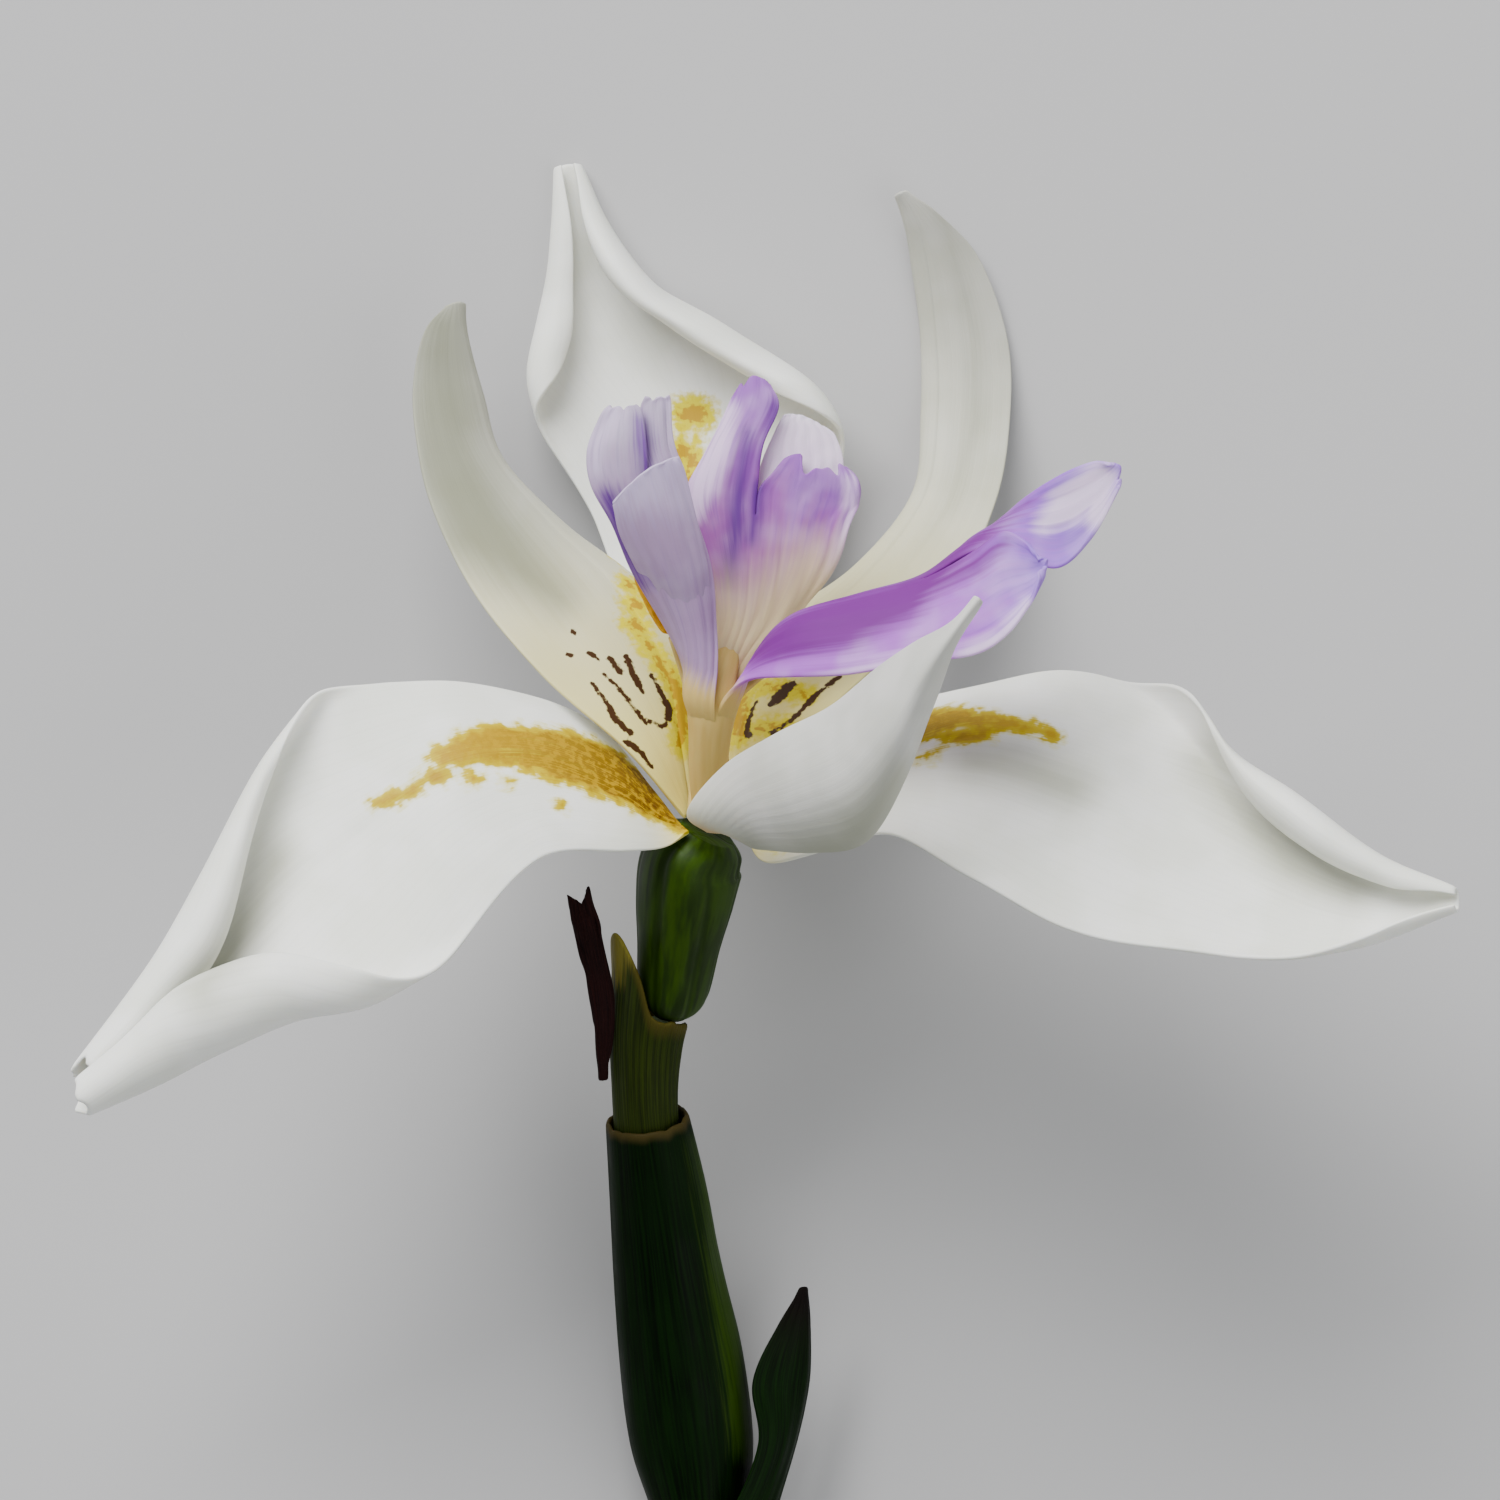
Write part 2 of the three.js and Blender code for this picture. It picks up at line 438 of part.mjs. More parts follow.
const OUTER_SPATHE = [
  [-1.1, -49.0, -18.1, 3.3, 3.3],
  [-1.7, -44.0, -17.2, 4.2, 3.7],
  [-2.5, -38.0, -15.6, 4.2, 3.6],
  [-3.6, -30.0, -12.6, 3.5, 3.1],
  [-4.8, -21.0, -8.8, 2.8, 2.7],
];
add('outer_spathe', sheath(OUTER_SPATHE, [-60, 290], () => 1, 16, 12), DARK_GREEN);

const STEM = [
  [-0.3, -58.0, -19.0, STEM_RADIUS, STEM_RADIUS],
  [-0.6, -54.0, -18.9, STEM_RADIUS, STEM_RADIUS],
  [-1.0, -50.0, -18.5, STEM_RADIUS, STEM_RADIUS],
  [-1.4, -46.4, -17.8, STEM_RADIUS - 0.6, STEM_RADIUS - 0.6],
];
add('flowering_stem', stalk(STEM, 16, 8), GREEN);

const WITHERED_BRACT = [
  rib([-7.9, -18.4, -7.1], [-8.2, -18.4, -7.0], [-7.7, -18.4, -6.9]),
  rib([-7.9, -13.0, -3.8], [-8.7, -12.5, -4.0], [-7.1, -13.0, -4.0]),
  rib([-8.8, -8.5, -2.2], [-9.7, -8.5, -2.4], [-7.9, -8.4, -2.4]),
  rib([-9.6, -4.8, -1.2], [-10.4, -5.2, -1.3], [-8.9, -4.6, -1.3]),
];
// Its end is worn into two points.
const worn = (s) => 0.9 + 0.1 * Math.abs(s);
add('withered_bract', blade(WITHERED_BRACT, 8, 10, SHEATH_THICKNESS, { edge: worn }), DRY_BROWN);

const LOWER_BRACT = [
  rib([1.0, -55.0, -15.6], [-2.4, -55.0, -16.2], [3.1, -55.0, -18.6]),
  rib([3.4, -50.0, -15.0], [0.6, -50.0, -13.8], [3.8, -50.0, -18.4]),
  rib([5.2, -45.0, -15.6], [3.0, -44.5, -13.2], [5.0, -45.0, -18.2]),
  rib([6.2, -40.0, -15.6], [2.6, -40.0, -13.6], [5.6, -40.0, -17.6]),
  rib([6.4, -36.0, -15.2], [4.4, -36.0, -14.0], [6.1, -36.0, -16.4]),
  rib([6.3, -33.2, -14.8], [6.1, -33.3, -14.7], [6.4, -33.3, -15.0]),
];
add('lower_bract', blade(LOWER_BRACT, 8, 14, SHEATH_THICKNESS), DARK_GREEN);

export default iris;
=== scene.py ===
# %% [markdown]
# # An African iris flower
# This lesson builds the fine surface of one picked iris flower over a plain solid model that already says
# where every organ lies. The flower has three broad outer tepals with a hairy yellow guide, three narrower
# inner tepals with brown marks, a style that splits into three violet petal-like arms, three stamens, a
# ribbed ovary, and the top of its stem with its sheathing bracts.
#
# Almost everything on it is a thin sheet or a stalk, so two helpers do most of the work: one lays a grid
# through curved ribs, and one wraps a grid round a line. All sizes of the organs are in millimetres from the
# receptacle, the point where the tepals leave the ovary, and are turned into metres when a mesh is made.

# %% Load the solid model and keep its box
import math

import bmesh
import bpy
import numpy as np
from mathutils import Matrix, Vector, noise


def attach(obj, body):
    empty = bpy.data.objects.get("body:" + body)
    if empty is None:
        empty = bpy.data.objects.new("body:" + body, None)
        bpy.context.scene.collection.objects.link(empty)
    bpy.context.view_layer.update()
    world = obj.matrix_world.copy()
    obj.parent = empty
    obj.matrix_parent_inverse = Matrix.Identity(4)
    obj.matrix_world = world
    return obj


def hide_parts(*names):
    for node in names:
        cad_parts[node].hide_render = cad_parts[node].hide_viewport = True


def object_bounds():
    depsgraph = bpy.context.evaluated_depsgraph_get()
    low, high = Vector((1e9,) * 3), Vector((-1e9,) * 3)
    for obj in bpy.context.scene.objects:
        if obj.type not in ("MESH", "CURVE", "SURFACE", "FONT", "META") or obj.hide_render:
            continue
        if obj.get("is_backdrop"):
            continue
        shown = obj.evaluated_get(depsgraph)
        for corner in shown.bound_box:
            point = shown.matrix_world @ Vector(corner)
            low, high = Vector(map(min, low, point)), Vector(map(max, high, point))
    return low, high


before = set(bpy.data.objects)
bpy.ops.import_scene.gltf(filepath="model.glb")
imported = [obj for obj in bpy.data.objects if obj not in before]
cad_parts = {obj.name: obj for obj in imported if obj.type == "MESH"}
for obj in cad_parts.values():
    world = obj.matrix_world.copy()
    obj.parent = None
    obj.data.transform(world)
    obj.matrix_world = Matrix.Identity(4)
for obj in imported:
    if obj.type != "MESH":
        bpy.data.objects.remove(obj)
solid_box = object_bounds()
RECEPTACLE = np.array([-3.4, 5.65, 21.7])
print("solid model's box:", [[round(c, 4) for c in corner] for corner in solid_box])

# %% [markdown]
# ## Curves and sheets
# A petal could be drawn flat and bent by modifiers, or sculpted, but its outline seen from above matters
# most, and ribs give that directly. Each rib is a short curve across the petal: a left shoulder, the midrib
# and a right shoulder. Beyond a shoulder the margin can roll up by a given length and turn. A smooth spline
# runs through the ribs from base to tip, and a grid made by Blender is then moved onto that surface.

# %% A smooth value along a list
def along(values, t):
    values = np.asarray(values, float)
    last = len(values) - 1
    i = min(int(min(t, 1) * last), last - 1)
    f = min(t, 1) * last - i
    padded = np.vstack([2 * values[0] - values[1], values, 2 * values[-1] - values[-2]])
    a, b, c, d = padded[i:i + 4]
    return b + 0.5 * f * (c - a + f * (2 * a - 5 * b + 4 * c - d + f * (3 * (b - c) + d - a)))


print("halfway along 0, 1, 4:", along([[0], [1], [4]], 0.5))

# %% Ribs of a blade
def rib(mid, left, right, roll_left=(0, 0), roll_right=(0, 0), opening=(0, 0, 0)):
    return np.array([*mid, *left, *right, *roll_left, *roll_right, *opening], float)


def split_rib(left, left_end, right_start, right):
    return rib(left_end, left, right, opening=np.subtract(right_start, left_end))


print("numbers in a rib:", len(rib([0, 0, 0], [-1, 0, 0], [1, 0, 0])))

# %% The curve across a blade
STEPS_ACROSS = 24  # in each half of the curve, and again in its rolled margin


def unit(vector):
    return vector / np.linalg.norm(vector)


def blade_line(ribs, t):
    """The two halves of the curve across a blade, each from the midrib out."""
    now = along(ribs, t)
    mid, left, right = now[0:3], now[3:6], now[6:9]
    rolls = {-1: now[9:11], 1: now[11:13]}
    opening = {-1: np.zeros(3), 1: now[13:16]}
    ahead = along(ribs, min(t + 0.01, 1))[:3] - along(ribs, max(t - 0.01, 0))[:3]
    half, bend = (right - left) / 2, (right + left) / 2 - mid
    halves = {}
    for side in (-1, 1):
        s = side * np.linspace(0, 1, STEPS_ACROSS + 1)[:, None]
        line = mid + half * s + bend * s * s + opening[side] * (1 - abs(s))
        length, turn = rolls[side]
        if length > 0.05:
            turn = math.radians(max(turn, 5))
            outward = unit(side * half + 2 * bend)
            face = unit(side * np.cross(outward, ahead))
            angle = turn * np.linspace(0, 1, STEPS_ACROSS + 1)[1:, None]
            curl = length / turn * (outward * np.sin(angle) + face * (1 - np.cos(angle)))
            line = np.vstack([line, line[-1] + curl])
        halves[side] = line
    return halves


def at_share(line, share):
    runs = np.concatenate([[0], np.cumsum(np.linalg.norm(np.diff(line, axis=0), axis=1))])
    return np.array([np.interp(share * runs[-1], runs, line[:, k]) for k in range(3)])


print("halfway along a line 2 mm long:", at_share(np.array([[0, 0, 0], [2, 0, 0]]), 0.5))

# %% [markdown]
# A blade starts as a flat grid from Blender, one unit square. Each point's place in the square becomes its
# place on the petal: across (0 to 1, with the midrib at one half) and up (0 at the base). The square also
# gives the UV map, so veins and marks can follow the petal however it bends. A Solidify modifier makes the
# sheet a thin closed body with its own material on the back, and one Subdivision level rounds its edge.

# %% Finish a piece
def finish_mesh(bm, name, materials):
    mesh = bpy.data.meshes.new(name)
    bm.to_mesh(mesh)
    bm.free()
    for material in materials:
        mesh.materials.append(material)
    mesh.shade_smooth()
    piece = bpy.data.objects.new(name, mesh)
    bpy.context.scene.collection.objects.link(piece)
    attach(piece, "root")
    return piece


def claim(piece, node=None):
    if node:
        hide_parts(node)
    print(piece.name + ":", len(piece.data.polygons), "faces")


def finish_sheet(bm, name, materials, thickness, node=None):
    """A sheet of this thickness in millimetres, with these materials, in place of the solid model's node."""
    piece = finish_mesh(bm, name, materials)
    solidify = piece.modifiers.new("thickness", "SOLIDIFY")
    solidify.thickness = thickness / 1000
    solidify.offset = 0
    solidify.material_offset = 1
    solidify.use_quality_normals = True
    smooth = piece.modifiers.new("rounded edge", "SUBSURF")
    smooth.levels = smooth.render_levels = 1
    claim(piece, node)


print("piece helpers ready")

# %% Lay a grid over a surface
def lay_grid(columns, rows, surface, slit=1.0, relief=None):
    """A grid of points moved to surface(across, up), in millimetres from the receptacle."""
    bm = bmesh.new()
    bmesh.ops.create_grid(bm, x_segments=columns, y_segments=rows, size=0.5)
    uv = bm.loops.layers.uv.new("UVMap")
    for face in bm.faces:
        for loop in face.loops:
            loop[uv].uv = (loop.vert.co.x + 0.5, loop.vert.co.y + 0.5)
    if slit < 1:
        on_slit = {v for v in bm.verts if abs(v.co.x) < 1e-5 and v.co.y + 0.5 > slit - 1e-5}
        bmesh.ops.split_edges(bm, edges=[e for e in bm.edges if on_slit.issuperset(e.verts)])
    places = {}
    for vert in bm.verts:
        side = -1 if sum(f.calc_center_median().x for f in vert.link_faces) < 0 else 1
        places[vert] = (vert.co.x + 0.5, vert.co.y + 0.5, side)
    for vert, (across, up, side) in places.items():
        vert.co = Vector((surface(across, up, side) + RECEPTACLE) / 1000)
    if relief:
        bm.normal_update()
        moves = {v: v.normal * relief(a, u, v.co * 1000) / 1000 for v, (a, u, side) in places.items()}
        for vert, move in moves.items():
            vert.co += move
    return bm


print("grid helper ready")

# %% The surface of a blade
def blade_surface(ribs, edge=lambda s: 1.0):
    lines = {}

    def surface(across, up, side):
        s = 2 * across - 1
        side = side if abs(s) < 1e-6 else math.copysign(1, s)
        t = round(up * edge(s), 5)
        if t not in lines:
            lines[t] = blade_line(ribs, t)
        return at_share(lines[t][side], abs(s))

    return surface


print("blade helper ready")

# %% [markdown]
# ## Stalks and sheaths
# A stalk is a tube whose middle line bends and whose width changes. It could be a bevelled curve, but a grid
# wrapped round the line lets its outline be lobed or ribbed as well. The two long edges of the grid meet in
# a seam that is merged, and the ends are closed. A sheath is the same grid left open along one side.

# %% Make a stalk or a sheath
def cross_frame(stations, t):
    """The centre of a cross-section, its two directions, and its half width and half depth."""
    now = along(stations, t)
    ahead = unit(along(stations, min(t + 0.01, 1))[:3] - along(stations, max(t - 0.01, 0))[:3])
    wide = unit(np.cross(ahead, [0, 0, 1]))
    return now[:3], wide, np.cross(wide, ahead), now[3], now[4]


def tube_surface(stations, angles=(0, 360), shape=lambda angle, t: 1.0, rim=lambda angle: 1.0):
    def surface(across, up, side):
        angle = math.radians(angles[0] + (angles[1] - angles[0]) * across)
        t = up * rim(angle)
        centre, wide, deep, half_width, half_depth = cross_frame(stations, t)
        round_about = wide * half_width * math.cos(angle) + deep * half_depth * math.sin(angle)
        return centre + round_about * shape(angle, t)

    return surface


def make_stalk(name, node, stations, sides, rows, materials, shape=lambda angle, t: 1.0):
    bm = lay_grid(sides, rows, tube_surface(stations, shape=shape))
    bmesh.ops.remove_doubles(bm, verts=bm.verts, dist=1e-7)
    ends = bmesh.ops.holes_fill(bm, edges=[e for e in bm.edges if e.is_boundary], sides=0)["faces"]
    bmesh.ops.inset_individual(bm, faces=ends, thickness=0.00012)
    bmesh.ops.recalc_face_normals(bm, faces=bm.faces)
    piece = finish_mesh(bm, name, materials)
    claim(piece, node)
    return piece


print("stalk helper ready")

# %% [markdown]
# ## Painting marks
# The yellow guides, brown streaks and violet flames follow the petals, so they are painted as brush strokes:
# short lines of points with a half width. Each mesh point stores its distance to the nearest stroke, in
# millimetres, below zero inside it. A distance blends smoothly between mesh points, so the material can turn
# it into an edge that is far crisper than the mesh, ragged or soft as it likes.

# %% Distance to a brush stroke
EYE = np.array([2.45, 4.9, 1000.0])  # the camera's place, in millimetres from the receptacle
FAR = 9.0  # stored where no stroke is near
# The "deep" mark holds painted shade on the tepals; on the style arms it holds the violet flames and some
# painted shade.
MARKS = ("guide", "streak", "band", "deep", "pale")


def seen_from_above(points):
    scale = EYE[2] / (EYE[2] - points[:, 2:3])
    return EYE[:2] + (points[:, :2] - EYE[:2]) * scale


def stroke_distance(points, path, half_widths):
    best = np.full(len(points), FAR)
    for k in range(max(len(path) - 1, 1)):
        start, end = path[k], path[min(k + 1, len(path) - 1)]
        run = end - start
        place = np.clip((points - start) @ run / max(run @ run, 1e-9), 0, 1)[:, None]
        gap = np.linalg.norm(points - start - place * run, axis=1)
        grow = half_widths[min(k + 1, len(path) - 1)] - half_widths[k]
        best = np.minimum(best, gap - half_widths[k] - place[:, 0] * grow)
    return best


print("a point 3 mm from a stroke 1 mm wide:",
      stroke_distance(np.array([[0, 3.0]]), np.array([[-1.0, 0], [1, 0]]), [0.5, 0.5]))

# %% Paint a laid grid
def laid_points(bm):
    """Each point of a laid grid: its place in millimetres, seen from above, and across and up the blade."""
    bm.verts.index_update()
    points = np.array([v.co[:] for v in bm.verts]) * 1000 - RECEPTACLE
    own = np.zeros((len(points), 2))
    for face in bm.faces:
        for loop in face.loops:
            own[loop.vert.index] = loop[bm.loops.layers.uv.active].uv
    return points, seen_from_above(points), own


def on_blade(bm, strokes):
    """Strokes measured from above, as strokes in the blade's own across and up."""
    points, flat, own = laid_points(bm)
    return [[(*own[np.argmin(np.linalg.norm(flat - p[:2], axis=1))], p[2]) for p in s] for s in strokes]


def paint(bm, above=None, own_marks=None):
    """Write each kind of mark: strokes seen from above, or strokes in across and up."""
    points, flat, own = laid_points(bm)
    for name in MARKS:
        distance = np.full(len(points), FAR)
        for stroke in (above or {}).get(name, []):
            path = np.array([p[:2] for p in stroke])
            distance = np.minimum(distance, stroke_distance(flat, path, [p[2] for p in stroke]))
        for stroke in (own_marks or {}).get(name, []):
            path = np.array([points[np.argmin(np.linalg.norm(own - p[:2], axis=1))] for p in stroke])
            distance = np.minimum(distance, stroke_distance(points, path, [p[2] for p in stroke]))
        layer = bm.verts.layers.float.new(name)
        for vert in bm.verts:
            vert[layer] = distance[vert.index]


print("paint helper ready")

# %% [markdown]
# ## Shader helpers
# Materials are built from nodes. These short helpers place a node, mix two colours, turn a number into a soft
# step and do sums. One more turns an ordinary 0 to 255 colour into the linear values Blender works with, and
# the last one joins a finished colour and relief to the material's own shader.

# %% Helpers for nodes
def put(tree, kind, inputs=None, **settings):
    made = tree.nodes.new("ShaderNode" + kind)
    for key, value in settings.items():
        setattr(made, key, value)
    for key, value in (inputs or {}).items():
        if isinstance(value, bpy.types.NodeSocket):
            tree.links.new(value, made.inputs[key])
        else:
            made.inputs[key].default_value = value
    return made


def mix(tree, factor, first, second):
    return put(tree, "Mix", {0: factor, 6: first, 7: second}, data_type="RGBA").outputs[2]


def step(tree, value, low, high, to_low=0.0, to_high=1.0):
    ends = {0: value, 1: low, 2: high, 3: to_low, 4: to_high}
    return put(tree, "MapRange", ends, interpolation_type="SMOOTHSTEP").outputs[0]


def number(tree, operation, first, second=0.0):
    return put(tree, "Math", {0: first, 1: second}, operation=operation).outputs[0]


print("node helpers ready")

# %% Colours and a new material
def linear(value):
    share = value / 255
    return share / 12.92 if value <= 10 else ((share + 0.055) / 1.055) ** 2.4


def tone(red, green, blue):
    return linear(red), linear(green), linear(blue), 1


def new_material(name):
    material = bpy.data.materials.new(name)
    material.use_nodes = True
    tree = material.node_tree
    return material, tree, tree.nodes["Principled BSDF"]


def finish_shader(tree, shader, color, height, strength, depth, constants):
    """Link the colour and a bump of this strength and depth, and set the shader's other sockets."""
    for socket, value in constants.items():
        shader.inputs[socket].default_value = value
    bump = put(tree, "Bump", {"Height": height, "Strength": strength, "Distance": depth})
    tree.links.new(color, shader.inputs["Base Color"])
    tree.links.new(bump.outputs[0], shader.inputs["Normal"])


print("white petal tone:", [round(c, 2) for c in tone(236, 236, 230)])

# %% [markdown]
# ## Veins and mottle
# Every petal and bract has veins that run along it, and every surface is slightly uneven in colour. Both are
# node groups, built once and used with other numbers in each material. The veins are noise stretched along
# the blade's own UV map, and lines where a waving count of the width is whole. The mottle is soft noise in
# the space of the whole flower.

# %% The two shared groups
def new_group(name, inputs, outputs):
    tree = bpy.data.node_groups.new(name, "ShaderNodeTree")
    for title, kind, value in inputs:
        socket = tree.interface.new_socket(title, in_out="INPUT", socket_type="NodeSocket" + kind)
        if value is not None:
            socket.default_value = value
    for title in outputs:
        tree.interface.new_socket(title, in_out="OUTPUT", socket_type="NodeSocketFloat")
    return tree, tree.nodes.new("NodeGroupInput"), tree.nodes.new("NodeGroupOutput")


vein_inputs = [("UV", "Vector", None), ("Count", "Float", 20.0), ("Waver", "Float", 0.4)]
veins_group, given, out = new_group("lengthwise veins", vein_inputs, ["Line", "Fine"])
axes = put(veins_group, "SeparateXYZ", {0: given.outputs["UV"]})
wide = number(veins_group, "MULTIPLY", axes.outputs[0], given.outputs["Count"])
long = number(veins_group, "MULTIPLY", axes.outputs[1], 2.5)
stretched = put(veins_group, "CombineXYZ", {0: wide, 1: long})
fine = put(veins_group, "TexNoise", {"Vector": stretched.outputs[0], "Scale": 1.6, "Detail": 4.0})
slow = put(veins_group, "TexNoise", {"Vector": given.outputs["UV"], "Scale": 3.0, "Detail": 1.0})
bent = number(veins_group, "MULTIPLY", slow.outputs[0], given.outputs["Waver"])
across = number(veins_group, "ADD", axes.outputs[0], number(veins_group, "MULTIPLY", bent, 0.2))
count = number(veins_group, "MULTIPLY", across, given.outputs["Count"])
line = step(veins_group, number(veins_group, "PINGPONG", count, 0.5), 0.0, 0.16, 1.0, 0.0)
veins_group.links.new(line, out.inputs["Line"])
veins_group.links.new(fine.outputs[0], out.inputs["Fine"])

mottle_group, given, out = new_group("soft mottle", [("Scale", "Float", 200.0)], ["Value", "Grain"])
place = put(mottle_group, "TexCoord").outputs["Object"]
soft = put(mottle_group, "TexNoise", {"Vector": place, "Scale": given.outputs["Scale"], "Detail": 2.0})
grain_scale = number(mottle_group, "MULTIPLY", given.outputs["Scale"], 12.0)
grain = put(mottle_group, "TexNoise", {"Vector": place, "Scale": grain_scale, "Detail": 2.0})
mottle_group.links.new(soft.outputs[0], out.inputs["Value"])
mottle_group.links.new(grain.outputs[0], out.inputs["Grain"])


def use_group(tree, group, **inputs):
    made = tree.nodes.new("ShaderNodeGroup")
    made.node_tree = group
    for key, value in inputs.items():
        if isinstance(value, bpy.types.NodeSocket):
            tree.links.new(value, made.inputs[key])
        else:
            made.inputs[key].default_value = value
    return made


print("groups:", veins_group.name, "and", mottle_group.name)

# %% [markdown]
# ## Petal material
# A tepal is a thin, wet, white tissue. Light sinks in and comes out again, which subsurface scattering gives,
# and its skin has a faint satin gloss. Near the base it is cream and green. The face carries the marks: on
# outer tepals a guide of short yellow hairs that turns orange brown near its base, on inner ones a yellow
# band and brown streaks. The back is plain, with its own tone at the base, so it has its own material.

# %% Marks on a face
GUIDE_HALO, GUIDE_RIM, GUIDE_MIDDLE = tone(216, 206, 30), tone(192, 168, 0), tone(174, 138, 0)
GUIDE_HAIR_TIP, GUIDE_HEART = tone(206, 182, 0), tone(92, 58, 0)
BAND_RIM, BAND_MIDDLE, STREAK_BROWN = tone(212, 198, 0), tone(180, 142, 0), tone(60, 34, 6)


def mark(tree, name):
    return put(tree, "Attribute", attribute_name=name).outputs["Fac"]


def frayed(tree, distance, noise_value, inward, outward):
    """A distance whose zero wavers between these two amounts, so that the mark's edge is uneven."""
    return number(tree, "ADD", distance, step(tree, noise_value, 0.3, 0.7, inward, outward))


def hairy_guide(tree, color, uv, up, grain):
    """A halo, a ragged yellow field, hairs with bright tips, and a brown heart towards the base."""
    hairs = use_group(tree, veins_group, UV=uv, Count=70.0, Waver=1.0).outputs["Fine"]
    blots = use_group(tree, mottle_group, Scale=85.0).outputs["Grain"]
    rim = frayed(tree, mark(tree, "guide"), blots, -0.3, 0.35)
    ragged = frayed(tree, rim, hairs, -0.12, 0.12)
    color = mix(tree, step(tree, ragged, 0.7, 0.0, 0.0, 0.55), color, GUIDE_HALO)
    color = mix(tree, step(tree, ragged, 0.25, -0.08), color, GUIDE_RIM)
    color = mix(tree, step(tree, ragged, 0.0, -0.8), color, GUIDE_MIDDLE)
    tips = number(tree, "MULTIPLY", step(tree, hairs, 0.5, 0.68), step(tree, blots, 0.4, 0.6, 0.2, 0.8))
    tips = number(tree, "MULTIPLY", tips, step(tree, ragged, 0.0, -0.4))
    color = mix(tree, tips, color, GUIDE_HAIR_TIP)
    heart = number(tree, "ADD", step(tree, grain, 0.35, 0.6), step(tree, hairs, 0.4, 0.6))
    heart = number(tree, "MULTIPLY", step(tree, heart, 0.5, 1.5), step(tree, up, 0.5, 0.1))
    heart = number(tree, "MULTIPLY", heart, step(tree, ragged, -0.1, -0.9))
    color = mix(tree, heart, color, GUIDE_HEART)
    fuzz = number(tree, "MULTIPLY", step(tree, ragged, 0.4, -0.6), number(tree, "ADD", hairs, grain))
    return color, ragged, fuzz


def band_and_streaks(tree, color, grain):
    band = frayed(tree, mark(tree, "band"), grain, -0.25, 0.3)
    color = mix(tree, step(tree, band, 1.3, 0.3), color, BAND_RIM)
    color = mix(tree, step(tree, band, 0.2, -0.15), color, BAND_MIDDLE)
    streak = frayed(tree, mark(tree, "streak"), grain, -0.08, 0.1)
    color = mix(tree, step(tree, streak, 0.1, -0.03), color, STREAK_BROWN)
    return color, number(tree, "MINIMUM", band, streak)


print("kinds of mark:", ", ".join(MARKS))

# %% Petal face and back
VEIN_GREY, CLAW_CREAM, SCATTER = tone(206, 208, 196), tone(216, 216, 190), 0.25


def petal_material(name, base_reach, base_tone, face=True, dull=tone(232, 233, 224),
                   bright=tone(241, 241, 235), deep=tone(156, 158, 132)):
    material, tree, shader = new_material(name)
    uv = put(tree, "UVMap", uv_map="UVMap").outputs[0]
    up = put(tree, "SeparateXYZ", {0: uv}).outputs[1]
    veins = use_group(tree, veins_group, UV=uv, Count=34.0, Waver=0.5)
    line, fine = veins.outputs["Line"], veins.outputs["Fine"]
    mottle = use_group(tree, mottle_group, Scale=180.0)
    color = mix(tree, step(tree, mottle.outputs["Value"], 0.35, 0.65), dull, bright)
    color = mix(tree, number(tree, "MULTIPLY", line, 0.07), color, VEIN_GREY)
    reach = number(tree, "ADD", up, number(tree, "MULTIPLY", fine, 0.06))
    color = mix(tree, step(tree, reach, base_reach * 1.6, base_reach * 0.6, 0.0, 0.5), color, CLAW_CREAM)
    color = mix(tree, step(tree, reach, base_reach, 0.03, 0.0, 1.0), color, base_tone)
    # The deep strokes are painted shade: the colour darkens towards the deep tone in the tepals' valleys and
    # over tepals that lie in shade.
    painted_shade = frayed(tree, mark(tree, "deep"), fine, -0.15, 0.15)
    color = mix(tree, step(tree, painted_shade, 3.0, -1.0, 0.0, 0.7), color, deep)
    height = number(tree, "ADD", number(tree, "MULTIPLY", line, -0.3), fine)
    if face:
        grain = mottle.outputs["Grain"]
        color, ragged, fuzz = hairy_guide(tree, color, uv, up, grain)
        color, other_marks = band_and_streaks(tree, color, grain)
        height = number(tree, "ADD", height, number(tree, "MULTIPLY", fuzz, 5.0))
        marked = number(tree, "MINIMUM", ragged, other_marks)
        tree.links.new(step(tree, marked, 0.9, 0.1, SCATTER, 0.0), shader.inputs["Subsurface Weight"])
    finish_shader(tree, shader, color, height, 0.16, 0.00007, {
        "Roughness": 0.5, "Specular IOR Level": 0.2, "Subsurface Weight": SCATTER,
        "Subsurface Radius": (1.0, 0.9, 0.7), "Subsurface Scale": 0.0004})
    return material


outer_face = petal_material("outer tepal face", 0.22, tone(230, 212, 120))
outer_back = petal_material("outer tepal back", 0.30, tone(214, 214, 140), face=False)
# Painted shade: the inner tepals' whites, on face and back, are greyer and darker than the outer ones', and the
# face's deep tone is darker still.
inner_face = petal_material("inner tepal face", 0.56, tone(226, 212, 120), dull=tone(176, 176, 163),
                            bright=tone(189, 188, 179), deep=tone(116, 119, 92))
inner_back = petal_material("inner tepal back", 0.18, tone(226, 196, 146), face=False,
                            dull=tone(192, 192, 185), bright=tone(204, 203, 198))
print("petal materials:", outer_face.name, outer_back.name, inner_face.name, inner_back.name)

# %% [markdown]
# ## Outer tepals
# The three outer tepals are the broad ones. Their claws are narrow at the base, their blades are limp, and
# their side margins curl up over the face near the tip, so that each tip is almost a tube. The curl is part
# of the ribs. A shallow groove along the midrib, faint corrugations along the veins and a slightly wavy
# margin keep the sheet from looking like plastic: a small relief moves every point along its own normal.

